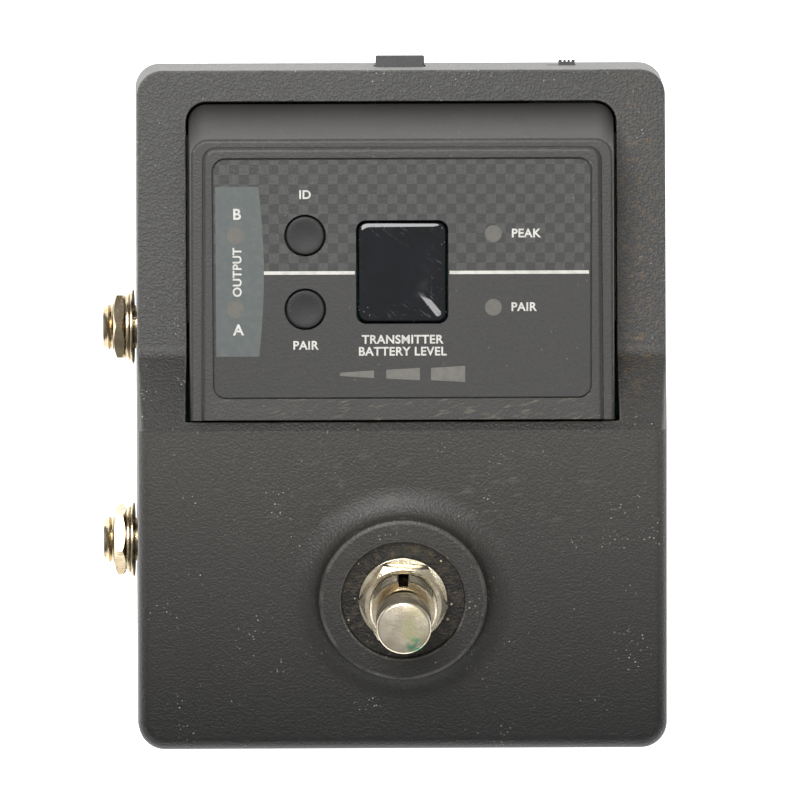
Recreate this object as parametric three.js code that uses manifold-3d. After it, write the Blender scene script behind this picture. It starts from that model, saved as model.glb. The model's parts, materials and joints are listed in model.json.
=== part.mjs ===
// Floor-pedal receiver for a digital wireless instrument system.
// Millimetres, +Z up, +Y towards the rear, +X to the player's right.
// The frame's origin is on the ground, in the middle of the bounding box.
import * as THREE from 'three';
import { mergeVertices } from 'three/addons/utils/BufferGeometryUtils.js';
import Module from 'manifold-3d';

const wasm = await Module();
wasm.setup();

const radians = (degrees) => THREE.MathUtils.degToRad(degrees);

// ---------------------------------------------------------------- clearances
const GAP = 0.3;              // between pieces that seat on or pass through each other
const STACK_GAP = 0.2;        // between washers, nuts and what they clamp

// ---------------------------------------------------------------- cast body
const BODY_WIDTH = 100;       // across the bottom rim
const BODY_DEPTH = 129.3;       // front to rear at the bottom rim
const FOOT_HEIGHT = 2;        // rubber feet below the rim
const DECK_HEIGHT = 48;       // level rear deck above the ground
const RIDGE_HEIGHT = 58;      // crest between the deck and the foot slope
const RIDGE_FROM_MIDDLE = 4.85;  // crest in front of the middle of the depth
const RAMP_RUN = 14.2;        // crest to level deck, measured level
const RAMP_FILLET = 4.5;
const SLOPE = radians(17);
const SIDE_DRAFT = radians(2.7);
const FRONT_DRAFT = radians(2.5);
const REAR_DRAFT = radians(5.3);
const WALL = 2.4;
const FRONT_CORNER = 4.8;
const REAR_CORNER = 4.6;
const SLOPE_EDGE = 2.3;       // rounding round the foot slope
const INNER_EDGE = 0.5;       // rounding of the hollow under the foot slope
const SKIRT = 6;              // raw walls run this far below the rim before they are cut off
const OVERLAP = 0.5;          // how far joined forms run into each other
const CUT = 1;                // how far a cutting form runs past what it cuts

// ------------------------------------------------------- opening and module
const SIDE_BAR = 8.9;         // deck beside the opening
const REAR_BAR = 5.7;         // deck behind the opening
const FRONT_BAR = 1.6;        // between crest and opening
const OPENING_CORNER = 3.7;
const OPENING_FRONT_CORNER = 0.3;
const MODULE_GAP = 0.45;      // round the sides and rear of the module
const MODULE_WALL = 2;
const MODULE_SKIRT = 10;      // below the deck
const MODULE_SIDE_DRAFT = radians(3);
const MODULE_REAR_LEAN = radians(26.5);
const MODULE_EDGE = 0.6;      // rounding of the ledge round the raised face
const FACE_TILT = radians(6);
const LEDGE_DROP = 0.9;       // ledge below the raised face
const LEDGE_SIDE = 2.5;       // module's side at the deck to the raised face
const LEDGE_REAR = 1;         // leaning rear wall to the raised face
const FACE_EDGE = 0.8;        // rounding of the raised face
const FACE_CORNER = 2.4;
const FACE_SIDE_DRAFT = radians(5);
const FACE_REAR_DRAFT = radians(10);
const FACE_ROOT = 1.6;        // depth of the raised face's own walls
const EAR_WIDTH = 5.4;
const EAR_LENGTH = 34;
const EAR_THICKNESS = 2.2;
const EAR_BOSS = 3;           // depth of the cast bosses that the ears hang from
const EAR_SCREW_SPACING = 24;
const EAR_HANGER_RADIUS = 2.4;
const BOARD_POST_RADIUS = 2;

// ------------------------------------------------------------ control label
const LABEL_REAR_MARGIN = 2.2;   // face left behind the label
const LABEL_FRONT_MARGIN = 4.1;
const LABEL_SIDE_MARGIN = 2.4;
const LABEL_CORNER = 2.1;
const LABEL_THICKNESS = 0.4;
const LABEL_SUNK = 0.1;
const CONTROL_PITCH = 13.2;   // button to button and lamp to lamp, front to rear
const CONTROL_OFFSET = 1.15;  // middle of the controls behind the label's middle
const LAMP_OFFSET = 0.25;     // the right-hand lamps behind the buttons' rows
const BUTTON_FROM_LEFT = 16.25;
const LAMP_FROM_RIGHT = 17.3;
const OUTPUT_LAMP_FROM_LEFT = 3.8;
const BUTTON_DIAMETER = 6.9;
const BUTTON_CLEARANCE = 0.3;
const BUTTON_FLANGE = 1;
const BUTTON_PROUD = 0.2;
const BUTTON_TRAVEL = 0.4;
const BUTTON_EDGE = 0.4;
const BUTTON_DISH = 0.15;
const BUTTON_FLANGE_THICKNESS = 0.8;
const BUTTON_STEM_RADIUS = 1.6;
const LAMP_DIAMETER = 3;
const LAMP_COLLAR = 0.4;
const LAMP_COLLAR_HEIGHT = 1;
const LAMP_DOME = 0.5;
const TACT_SIDE = 6;
const TACT_HEIGHT = 1.5;
const TACT_KEY_RADIUS = 1.5;
const TACT_KEY_HEIGHT = 0.5;
const TACT_GAP = 0.15;
const WINDOW_WIDTH = 16.5;
const WINDOW_LENGTH = 18.6;
const WINDOW_CORNER = 1.8;
const LENS_PROUD = 0.2;
const LENS_THICKNESS = 2.6;
const DISPLAY_MARGIN = 1.5;      // window edge to the number display

// ------------------------------------------------------------ circuit boards
const BOARD_THICKNESS = 1.6;
const DISPLAY_BOARD_DROP = 8;    // face to the top of the display board
const MAIN_BOARD_TOP = 15.7;
const BOARD_EDGE = 1.5;          // board to wall
const BOARD_BEYOND_JACK = 4;
const PLATE_THICKNESS = 1.5;
const STANDOFF_RADIUS = 3;
const BOARD_CORNER = 1;
const BOARD_POST_INSET = 3;
const STANDOFF_INSET = [6, 5];
const ANTENNA_LENGTH = 22;
const ANTENNA_THICKNESS = 0.8;
const ANTENNA_FROM_MIDDLE = 17;
const ANTENNA_FROM_EDGE = 2;
const SHIELD_SIZE = [28, 22, 4];
const SHIELD_SPOT = [18, 30];
const SHIELD_WALL = 0.5;
const RIBBON_WIDTH = 20;
const RIBBON_THICKNESS = 0.7;
const RIBBON_STEP = 6;           // how far its lower end lies in front of the upper

// --------------------------------------------------------------- foot switch
const SWITCH_FROM_RIDGE = 29.4;  // crest to switch axis, measured level
const BOSS_HEIGHT = 4.5;
const BOSS_FLARE = 5.4;
const FLARE_RISE = 0.88;         // share of the boss's height that the flare takes up
const RECESS_DEPTH = 1.2;
const PLUNGER_RADIUS = 4.93;     // of its cap, above the bushing
const PLUNGER_NECK_RADIUS = 3.7;
const PLUNGER_EDGE = 0.5;
const PLUNGER_ABOVE_RIM = 15.1;
const PLUNGER_CLEARANCE = 0.25;
const CAP_ABOVE_BUSHING = 3.4;
const SWITCH_TRAVEL = 2.5;
const BUSHING_WALL = 2.05;
const BUSHING_RADIUS = PLUNGER_NECK_RADIUS + PLUNGER_CLEARANCE + BUSHING_WALL;
const BUSHING_ABOVE_RIM = 5.8;
const BUSHING_EDGE = 0.4;
const KEYWAY_WIDTH = 1.9;
const KEYWAY_DEPTH = 1.5;
const SWITCH_NUT_FLATS = 2 * BUSHING_RADIUS + 2;
const SWITCH_NUT_HEIGHT = 2.8;
const SWITCH_NUT_TURN = radians(-4);
const SWITCH_WASHER_RADIUS = BUSHING_RADIUS + 2;
const SWITCH_WASHER_THICKNESS = 0.8;
const RECESS_RADIUS = SWITCH_WASHER_RADIUS + 3.1;
const BOSS_RADIUS = RECESS_RADIUS + 4.15;
const SWITCH_BODY_SIDE = 2 * BUSHING_RADIUS + 5;
const SWITCH_BODY_LENGTH = 18;
const WELL_CLEARANCE = 0.4;
const PLUNGER_SUNK = 4;          // plunger's foot below the top of the switch body
const SPRING_LENGTH = 7;
const SPRING_WIRE = 0.4;         // radius
const SPRING_RADIUS = 3.2;
const SPRING_TURNS = 4;
const TERMINAL_PLATE = [14, 12, 1];
const TERMINAL_PIN = [0.8, 2, 3.6];
const TERMINAL_XS = [-4, 0, 4];
const TERMINAL_YS = [-3, 3];

// --------------------------------------------------------------------- jacks
const JACK_HEIGHT = 22;          // axis above the ground
const JACK_SPACING = 39.5;
const REAR_JACK_FROM_MIDDLE = 14.45;
const JACK_REACH = 6.1;          // thread end beyond the wall
const JACK_THREAD_RADIUS = 4.35;
const JACK_THREAD_EDGE = 0.4;
const JACK_BORE_RADIUS = JACK_THREAD_RADIUS - 1.1;
const JACK_FLANGE_RADIUS = JACK_THREAD_RADIUS + 1.25;
const JACK_FLANGE_THICKNESS = 1.4;
const JACK_BODY_SIDE = 2 * JACK_THREAD_RADIUS + 3.3;
const JACK_BODY_LENGTH = 23;
const JACK_BODY_WALL = 2;        // behind the socket
const JACK_SEAT = 0.5;           // panel to the flange inside, and to the first washer outside
const JACK_NUT_FLATS = 2 * JACK_THREAD_RADIUS + 2.9;
const JACK_NUT_HEIGHT = 2.1;
const JACK_NUT_TURNS = { output_b: radians(30), output_a: radians(12) };
const JACK_WASHER_RADII = [JACK_THREAD_RADIUS + 2.55, JACK_THREAD_RADIUS + 1.85];
const JACK_WASHER_THICKNESS = [0.5, 0.6];
const CONTACT_WIDTH = 3;
const CONTACT_THICKNESS = 0.6;
const CONTACT_REACH = 8;

// ------------------------------------------------------ rear panel fittings
const DC_WIDTH = 9;
const DC_HEIGHT = 11;
const DC_LENGTH = 14;
const DC_PROUD = 1.6;
const DC_SOCKET_RADIUS = 3.1;
const DC_SOCKET_DEPTH = 9.5;
const DC_PIN_RADIUS = 1.05;
const DC_PIN_SUNK = 1.2;
const MODE_FROM_MIDDLE = 31.1;
const MODE_KNOB_WIDTH = 3;
const MODE_KNOB_HEIGHT = 3;
const MODE_KNOB_PROUD = 0.9;
const MODE_TRAVEL = 2;
const MODE_AXIS_ABOVE_BOARD = 4.3;
const MODE_FRAME_WIDTH = 12;
const MODE_FRAME_DEPTH = 6;
const MODE_POCKET_DEPTH = 3.6;
const MODE_KNOB_SUNK = 3;        // knob's inner end behind the face of its frame
const MODE_GRIP_PITCH = 0.75;
const MODE_GRIP_WIDTH = 0.35;
const MODE_GRIP_DEPTH = 0.4;

// ----------------------------------------------------------------- fasteners
const BASE_SCREW_INSET = 6.2;
const BASE_BOSS_RADIUS = 4;
const BASE_BOSS_TOP = 22;
const SCREW_RADIUS = 1.5;
const SCREW_HEAD_RADIUS = 2.8;
const SCREW_HEAD_HEIGHT = 1.3;
const SCREW_LENGTH = 9;
const SCREW_TIP = 0.5;
const SCREW_HEAD_EDGE = 0.4;
const SCREW_HEAD_SHARE = 0.6;    // share of the head's height below its edge
const SMALL_SCREW_RADIUS = 1.2;
const SMALL_HEAD_RADIUS = 2.2;
const SMALL_HEAD_HEIGHT = 1;
const FOOT_RADIUS = 7;
const FOOT_INSET = 17;
const FOOT_EDGE = 0.5;

// ------------------------------------------------------------ derived planes
const RIM = FOOT_HEIGHT;
const RIDGE_Y = -RIDGE_FROM_MIDDLE;
const sideX = (z) => BODY_WIDTH / 2 - (z - RIM) * Math.tan(SIDE_DRAFT);
const rearY = (z) => BODY_DEPTH / 2 - (z - RIM) * Math.tan(REAR_DRAFT);
const slopeZ = (y) => RIDGE_HEIGHT + (y - RIDGE_Y) * Math.tan(SLOPE);

const OPENING_HALF = sideX(DECK_HEIGHT) - SIDE_BAR;
const OPENING_REAR = rearY(DECK_HEIGHT) - REAR_BAR;
const OPENING_FRONT = RIDGE_Y + FRONT_BAR;
const MODULE_HALF = OPENING_HALF - MODULE_GAP;
const MODULE_REAR = OPENING_REAR - MODULE_GAP;
const MODULE_FRONT = OPENING_FRONT + GAP;
const faceZ = (y) => RIDGE_HEIGHT + (y - MODULE_FRONT) * Math.tan(FACE_TILT);

// The leaning rear wall and the plane of the face meet here.
const LEAN_REAR = (MODULE_REAR - (faceZ(0) - DECK_HEIGHT) * Math.tan(MODULE_REAR_LEAN))
  / (1 + Math.tan(FACE_TILT) * Math.tan(MODULE_REAR_LEAN));
const FACE_REAR = LEAN_REAR - LEDGE_REAR;
const FACE_HALF = MODULE_HALF - LEDGE_SIDE;
const LABEL_HALF = FACE_HALF - LABEL_SIDE_MARGIN;
const LABEL_FRONT = MODULE_FRONT + LABEL_FRONT_MARGIN;
const LABEL_REAR = FACE_REAR - LABEL_REAR_MARGIN;
const LABEL_MIDDLE = (LABEL_FRONT + LABEL_REAR) / 2;
const LABEL_LENGTH = (LABEL_REAR - LABEL_FRONT) / Math.cos(FACE_TILT);

const BUTTON_X = BUTTON_FROM_LEFT - LABEL_HALF;
const LAMP_X = LABEL_HALF - LAMP_FROM_RIGHT;
const OUTPUT_LAMP_X = OUTPUT_LAMP_FROM_LEFT - LABEL_HALF;
const REAR_CONTROL = CONTROL_OFFSET + CONTROL_PITCH / 2;
const FRONT_CONTROL = CONTROL_OFFSET - CONTROL_PITCH / 2;

const SWITCH_Y = RIDGE_Y - SWITCH_FROM_RIDGE;
const JACK_YS = { output_b: REAR_JACK_FROM_MIDDLE, output_a: REAR_JACK_FROM_MIDDLE - JACK_SPACING };
const JACK_END = sideX(JACK_HEIGHT) + JACK_REACH;
const DC_Z = MAIN_BOARD_TOP + GAP + DC_HEIGHT / 2;
const MODE_Z = MAIN_BOARD_TOP + GAP + MODE_AXIS_ABOVE_BOARD;
const PLATE_TOP = RIM + PLATE_THICKNESS;

// The jacks reach out past the left side, so the box's middle is off the body's.
const BOX_MIDDLE_X = (BODY_WIDTH / 2 - JACK_END) / 2;

// Frames of the tilted sub-assemblies.
const FACE_FRAME = new THREE.Matrix4().makeRotationX(FACE_TILT)
  .setPosition(0, LABEL_MIDDLE, faceZ(LABEL_MIDDLE));
const SWITCH_FRAME = new THREE.Matrix4().makeRotationX(SLOPE)
  .setPosition(0, SWITCH_Y, slopeZ(SWITCH_Y));

// ------------------------------------------------------------------- helpers
function solidOf(geometry) {
  const bare = geometry.clone();
  bare.deleteAttribute('normal');
  bare.deleteAttribute('uv');
  const merged = mergeVertices(bare, 1e-4);
  const corners = merged.index.array;
  const triangles = [];
  for (let i = 0; i < corners.length; i += 3) {
    const [a, b, c] = [corners[i], corners[i + 1], corners[i + 2]];
    if (a !== b && b !== c && c !== a) {
      triangles.push(a, b, c);
    }
  }
  return new wasm.Manifold(new wasm.Mesh({
    numProp: 3,
    vertProperties: new Float32Array(merged.attributes.position.array),
    triVerts: new Uint32Array(triangles),
  }));
}

function geometryOf(solid) {
  const mesh = solid.getMesh();
  const geometry = new THREE.BufferGeometry();
  geometry.setAttribute('position', new THREE.BufferAttribute(mesh.vertProperties, 3));
  geometry.setIndex(new THREE.BufferAttribute(mesh.triVerts, 1));
  geometry.computeVertexNormals();
  return geometry;
}

// A box standing on height z, with (x, y) in the middle of its foot.
function block(width, depth, height, x = 0, y = 0, z = 0) {
  return new THREE.BoxGeometry(width, depth, height).translate(x, y, z + height / 2);
}

function rod(radius, bottom, top, segments = 24) {
  return new THREE.CylinderGeometry(radius, radius, top - bottom, segments)
    .rotateX(Math.PI / 2)
    .translate(0, 0, (top + bottom) / 2);
}

function hexagon(flats, bottom, top) {
  return rod(flats / Math.sqrt(3), bottom, top, 6);
}

// Turns a closed outline of [radius, height] points about the Z axis.
function revolve(outline, segments = 32) {
  const points = outline.map(([radius, height]) => new THREE.Vector2(radius, height));
  points.push(points[0].clone());
  return new THREE.LatheGeometry(points, segments).rotateX(Math.PI / 2);
}

function roundedOutline(half, front, rear, frontCorner, rearCorner) {
  const shape = new THREE.Shape();
  shape.moveTo(-half + frontCorner, front);
  shape.lineTo(half - frontCorner, front);
  shape.absarc(half - frontCorner, front + frontCorner, frontCorner, -Math.PI / 2, 0);
  shape.lineTo(half, rear - rearCorner);
  shape.absarc(half - rearCorner, rear - rearCorner, rearCorner, 0, Math.PI / 2);
  shape.lineTo(-half + rearCorner, rear);
  shape.absarc(-half + rearCorner, rear - rearCorner, rearCorner, Math.PI / 2, Math.PI);
  shape.lineTo(-half, front + frontCorner);
  shape.absarc(-half + frontCorner, front + frontCorner, frontCorner, Math.PI, 1.5 * Math.PI);
  return shape;
}

function prism(shape, bottom, top, curveSegments = 6) {
  const settings = { depth: top - bottom, bevelEnabled: false, curveSegments };
  return new THREE.ExtrudeGeometry(shape, settings).translate(0, 0, bottom);
}

function mapPoints(geometry, change) {
  const position = geometry.attributes.position;
  const point = new THREE.Vector3();
  for (let i = 0; i < position.count; i += 1) {
    point.fromBufferAttribute(position, i);
    change(point);
    position.setXYZ(i, point.x, point.y, point.z);
  }
  return geometry;
}

// A rounded block with drafted walls under a plane top: sizes are those at height base.
// Its walls run down to bottom, and its top edge is rounded where edge is above zero.
function draftedBlock({ half, front, rear, corners, base, bottom, topZ, edge, drafts }) {
  const outline = roundedOutline(half, front, rear, corners[0], corners[1]);
  const middle = (front + rear) / 2;
  const high = topZ(rear) + 1;
  const settings = { depth: high - bottom - 2 * edge, curveSegments: 6, bevelEnabled: edge > 0 };
  const rounding = { bevelThickness: edge, bevelSize: edge, bevelOffset: -edge, bevelSegments: 4 };
  Object.assign(settings, rounding);
  const geometry = new THREE.ExtrudeGeometry(outline, settings).translate(0, 0, bottom + edge);
  return mapPoints(geometry, (point) => {
    const lean = point.y < middle ? Math.tan(drafts.front) : -Math.tan(drafts.rear);
    const below = point.z - high;
    const start = point.y;
    const onTop = point.z > (bottom + high) / 2;
    for (let pass = 0; pass < 8; pass += 1) {
      point.z = onTop ? topZ(point.y) + below : point.z;
      point.y = start + (point.z - base) * lean;
    }
    point.x -= Math.sign(point.x) * (point.z - base) * Math.tan(drafts.side);
  });
}

function mesh(name, geometry, material) {
  const piece = new THREE.Mesh(geometry, material);
  piece.name = name;
  return piece;
}

function finish(color, roughness, metalness = 0) {
  return new THREE.MeshStandardMaterial({ color, roughness, metalness });
}

const PAINT = finish(0x35353a, 0.62, 0.3);
const BLACK_PLASTIC = finish(0x2c2c2e, 0.5);
const GLOSS_PLASTIC = finish(0x0a0c10, 0.12);
const LABEL_FILM = finish(0x4b4c4f, 0.45);
const NICKEL = finish(0xb9b2a6, 0.28, 1);
const STEEL = finish(0x8d8f92, 0.4, 1);
const RUBBER = finish(0x161616, 0.9);
const GREEN_BOARD = finish(0x1d5a34, 0.5);
const BRASS = finish(0xb5943f, 0.35, 1);
const LAMP_RESIN = finish(0x8a8f86, 0.35);
const GREY_PLASTIC = finish(0xc9c9c4, 0.5);

// ----------------------------------------------------------------- enclosure
function rampProfile(lift) {
  const rampEnd = RIDGE_Y + RAMP_RUN;
  const angle = Math.atan2(RIDGE_HEIGHT - DECK_HEIGHT, RAMP_RUN);
  const tangent = RAMP_FILLET * Math.tan(angle / 2);
  const profile = new THREE.Shape();
  profile.moveTo(RIDGE_Y, RIM - CUT);
  profile.lineTo(BODY_DEPTH, RIM - CUT);
  profile.lineTo(BODY_DEPTH, DECK_HEIGHT + lift);
  profile.lineTo(rampEnd + tangent, DECK_HEIGHT + lift);
  profile.absarc(rampEnd + tangent, DECK_HEIGHT + RAMP_FILLET + lift, RAMP_FILLET,
    -Math.PI / 2, -Math.PI / 2 - angle, true);
  profile.lineTo(RIDGE_Y, RIDGE_HEIGHT + lift);
  return profile;
}

// The body's outer form with its walls moved in by inset and its top down by drop.
function bodyForm(inset, drop) {
  const shared = {
    half: BODY_WIDTH / 2 - inset,
    front: -BODY_DEPTH / 2 + inset,
    rear: BODY_DEPTH / 2 - inset,
    corners: [FRONT_CORNER - inset / 2, REAR_CORNER - inset / 2],
    base: RIM,
    bottom: RIM - SKIRT,
    drafts: { side: SIDE_DRAFT, front: FRONT_DRAFT, rear: REAR_DRAFT },
  };
  const edge = Math.max(SLOPE_EDGE - inset, INNER_EDGE);
  const slopeTop = (y) => slopeZ(y) - drop / Math.cos(SLOPE);
  const front = solidOf(draftedBlock({ ...shared, topZ: slopeTop, edge }));
  const rear = solidOf(draftedBlock({ ...shared, topZ: () => RIDGE_HEIGHT + WALL, edge: 0 }));
  const sidePrism = prism(rampProfile(-drop), -BODY_WIDTH, BODY_WIDTH);
  const profile = sidePrism.rotateX(Math.PI / 2).rotateZ(Math.PI / 2);
  const frontMiddle = RIDGE_Y - BODY_DEPTH / 2;
  const frontHalf = block(2 * BODY_WIDTH, BODY_DEPTH, 2 * RIDGE_HEIGHT, 0, frontMiddle, RIM);
  const aboveRim = block(2 * BODY_WIDTH, 2 * BODY_DEPTH, 2 * RIDGE_HEIGHT, 0, 0, RIM);
  return front.intersect(solidOf(frontHalf)).add(rear.intersect(solidOf(profile)))
    .intersect(solidOf(aboveRim));
}

function bossOutline() {
  const outline = [[0, -WALL]];
  const foot = BOSS_RADIUS + BOSS_FLARE;
  outline.push([foot, -WALL], [foot, -OVERLAP]);
  const steps = 6;
  for (let i = 0; i <= steps; i += 1) {
    const turn = (i / steps) * (Math.PI / 2);
    const radius = foot - BOSS_FLARE * Math.sin(turn);
    outline.push([radius, BOSS_HEIGHT * FLARE_RISE * (1 - Math.cos(turn))]);
  }
  outline.push([BOSS_RADIUS - BUSHING_EDGE, BOSS_HEIGHT], [0, BOSS_HEIGHT]);
  return outline;
}

function jackHole(y) {
  const reach = 2 * WALL;
  return rod(JACK_THREAD_RADIUS + GAP, -reach, reach).rotateY(-Math.PI / 2)
    .translate(-sideX(JACK_HEIGHT), y, JACK_HEIGHT);
}

function rearHole(width, height, x, z) {
  return block(width, 4 * WALL, height, x, rearY(z), z - height / 2);
}

const baseCorners = (inset) => [[-1, -1], [1, -1], [-1, 1], [1, 1]]
  .map(([sx, sy]) => [sx * (BODY_WIDTH / 2 - inset), sy * (BODY_DEPTH / 2 - inset)]);

const EAR_MIDDLE = (OPENING_REAR + RIDGE_Y + RAMP_RUN) / 2;
const EAR_SPOTS = [[-1, -1], [1, -1], [-1, 1], [1, 1]].map(([sx, sy]) => [
  sx * (MODULE_HALF + EAR_WIDTH / 2),
  EAR_MIDDLE + sy * EAR_SCREW_SPACING / 2,
]);
const DECK_UNDER = DECK_HEIGHT - WALL;
const EAR_TOP = DECK_UNDER - EAR_BOSS - GAP;

function enclosure() {
  let solid = bodyForm(0, 0).subtract(bodyForm(WALL, WALL));
  const boss = revolve(bossOutline(), 56).applyMatrix4(SWITCH_FRAME);
  solid = solid.add(solidOf(boss));
  for (const [x, y] of baseCorners(BASE_SCREW_INSET)) {
    const post = rod(BASE_BOSS_RADIUS, PLATE_TOP + GAP, BASE_BOSS_TOP, 16).translate(x, y, 0);
    const pilot = rod(SCREW_RADIUS + GAP, RIM, PLATE_TOP + SCREW_LENGTH, 10).translate(x, y, 0);
    solid = solid.add(solidOf(post)).subtract(solidOf(pilot));
  }
  for (const [x, y] of EAR_SPOTS) {
    const hanger = rod(EAR_HANGER_RADIUS, DECK_UNDER - EAR_BOSS, DECK_UNDER + OVERLAP, 12)
      .translate(x, y, 0);
    const pilot = rod(SMALL_SCREW_RADIUS + GAP, EAR_TOP - CUT, DECK_UNDER + CUT, 10).translate(x, y, 0);
    solid = solid.add(solidOf(hanger)).subtract(solidOf(pilot));
  }
  const opening = roundedOutline(OPENING_HALF, OPENING_FRONT, OPENING_REAR, OPENING_FRONT_CORNER,
    OPENING_CORNER);
  solid = solid.subtract(solidOf(prism(opening, DECK_HEIGHT - MODULE_SKIRT, 2 * RIDGE_HEIGHT)));
  const recess = rod(RECESS_RADIUS, BOSS_HEIGHT - RECESS_DEPTH, 2 * BOSS_HEIGHT, 48);
  const bore = rod(BUSHING_RADIUS + GAP, -2 * WALL - CUT, BOSS_HEIGHT);
  for (const cut of [recess, bore]) {
    solid = solid.subtract(solidOf(cut.applyMatrix4(SWITCH_FRAME)));
  }
  for (const y of Object.values(JACK_YS)) {
    solid = solid.subtract(solidOf(jackHole(y)));
  }
  solid = solid.subtract(solidOf(rearHole(DC_WIDTH + 2 * GAP, DC_HEIGHT + 2 * GAP, 0, DC_Z)));
  const slot = MODE_KNOB_WIDTH + MODE_TRAVEL + 2 * GAP;
  const slotX = MODE_FROM_MIDDLE - MODE_TRAVEL / 2;
  solid = solid.subtract(solidOf(rearHole(slot, MODE_KNOB_HEIGHT + 2 * GAP, slotX, MODE_Z)));
  return mesh('enclosure', geometryOf(solid), PAINT);
}

// ----------------------------------------------------- base plate, feet, screws
const BOARD_HALF = sideX(MAIN_BOARD_TOP) - WALL - BOARD_EDGE;
const BOARD_FRONT = JACK_YS.output_a - JACK_BODY_SIDE / 2 - BOARD_BEYOND_JACK;
const BOARD_REAR = rearY(MAIN_BOARD_TOP) - WALL - BOARD_EDGE;
const TONGUE_HALF = BODY_WIDTH / 2 - BASE_SCREW_INSET - BASE_BOSS_RADIUS - BOARD_CORNER;
const TONGUE_START = BODY_DEPTH / 2 - BASE_SCREW_INSET - BASE_BOSS_RADIUS - BOARD_CORNER;
const STANDOFF_YS = [BOARD_FRONT + STANDOFF_INSET[1], TONGUE_START - STANDOFF_INSET[1]];
const STANDOFF_SPOTS = [-1, 1].flatMap((side) => STANDOFF_YS
  .map((y) => [side * (BOARD_HALF - STANDOFF_INSET[0]), y]));

function basePlate() {
  const half = BODY_WIDTH / 2 - WALL - 2 * GAP;
  const reach = BODY_DEPTH / 2 - WALL - 2 * GAP;
  const outline = roundedOutline(half, -reach, reach, FRONT_CORNER, REAR_CORNER);
  let solid = solidOf(prism(outline, RIM, PLATE_TOP));
  for (const [x, y] of STANDOFF_SPOTS) {
    const top = MAIN_BOARD_TOP - BOARD_THICKNESS - GAP;
    solid = solid.add(solidOf(rod(STANDOFF_RADIUS, PLATE_TOP - OVERLAP, top, 12).translate(x, y, 0)));
  }
  for (const [x, y] of baseCorners(BASE_SCREW_INSET)) {
    const hole = rod(SCREW_RADIUS + GAP, 0, PLATE_TOP + CUT, 12).translate(x, y, 0);
    solid = solid.subtract(solidOf(hole));
  }
  return mesh('base_plate', geometryOf(solid), STEEL);
}

function screw(name, radius, headRadius, headHeight, length) {
  const outline = [[0, -headHeight], [headRadius - SCREW_HEAD_EDGE, -headHeight],
    [headRadius, -headHeight * SCREW_HEAD_SHARE], [headRadius, 0], [radius, 0],
    [radius, length - SCREW_TIP], [radius - SCREW_TIP, length], [0, length]];
  return mesh(name, geometryOf(solidOf(revolve(outline, 12))), STEEL);
}

function baseScrews() {
  return baseCorners(BASE_SCREW_INSET).map(([x, y], index) => {
    const piece = screw(`base_screw_${index + 1}`, SCREW_RADIUS, SCREW_HEAD_RADIUS,
      SCREW_HEAD_HEIGHT, SCREW_LENGTH);
    piece.position.set(x, y, RIM);
    return piece;
  });
}

function rubberFeet() {
  const outline = [[0, 0], [FOOT_RADIUS - FOOT_EDGE, 0], [FOOT_RADIUS, FOOT_EDGE],
    [FOOT_RADIUS, FOOT_HEIGHT], [0, FOOT_HEIGHT]];
  return baseCorners(FOOT_INSET).map(([x, y], index) => {
    const piece = mesh(`rubber_foot_${index + 1}`, geometryOf(solidOf(revolve(outline, 24))), RUBBER);
    piece.position.set(x, y, 0);
    return piece;
  });
}

// ------------------------------------------------------------- module housing
function moduleForm(inset, drop) {
  const half = MODULE_HALF - inset;
  const rear = MODULE_REAR - inset / Math.cos(MODULE_REAR_LEAN);
  const corner = OPENING_CORNER - MODULE_GAP - inset / 2;
  const crown = draftedBlock({
    half,
    front: MODULE_FRONT - SKIRT,
    rear,
    corners: [corner, corner],
    base: DECK_HEIGHT,
    bottom: DECK_HEIGHT - SKIRT,
    topZ: (y) => faceZ(y) - drop,
    edge: MODULE_EDGE,
    drafts: { side: MODULE_SIDE_DRAFT, front: 0, rear: MODULE_REAR_LEAN },
  });
  const skirt = prism(roundedOutline(half, MODULE_FRONT - SKIRT, rear, corner, corner),
    DECK_HEIGHT - MODULE_SKIRT - inset, DECK_HEIGHT);
  const high = block(2 * BODY_WIDTH, 2 * BODY_DEPTH, RIDGE_HEIGHT, 0, 0, DECK_HEIGHT);
  const behind = block(2 * BODY_WIDTH, BODY_DEPTH, 3 * RIDGE_HEIGHT, 0,
    MODULE_FRONT + inset + BODY_DEPTH / 2, -RIDGE_HEIGHT);
  return solidOf(crown).intersect(solidOf(high)).add(solidOf(skirt)).intersect(solidOf(behind));
}

// The raised face, standing on the ledge, that carries the label.
function raisedFace() {
  const form = draftedBlock({
    half: FACE_HALF,
    front: MODULE_FRONT - SKIRT,
    rear: FACE_REAR + (faceZ(FACE_REAR) - RIDGE_HEIGHT) * Math.tan(FACE_REAR_DRAFT),
    corners: [FACE_CORNER, FACE_CORNER],
    base: RIDGE_HEIGHT,
    bottom: DECK_HEIGHT,
    topZ: faceZ,
    edge: FACE_EDGE,
    drafts: { side: FACE_SIDE_DRAFT, front: 0, rear: FACE_REAR_DRAFT },
  });
  const above = block(2 * BODY_WIDTH, 2 * BODY_DEPTH, RIDGE_HEIGHT, 0, 0, -FACE_ROOT);
  const behind = block(2 * BODY_WIDTH, BODY_DEPTH, 2 * RIDGE_HEIGHT, 0, MODULE_FRONT + BODY_DEPTH / 2);
  return solidOf(form).intersect(solidOf(above.applyMatrix4(FACE_FRAME))).intersect(solidOf(behind));
}

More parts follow.
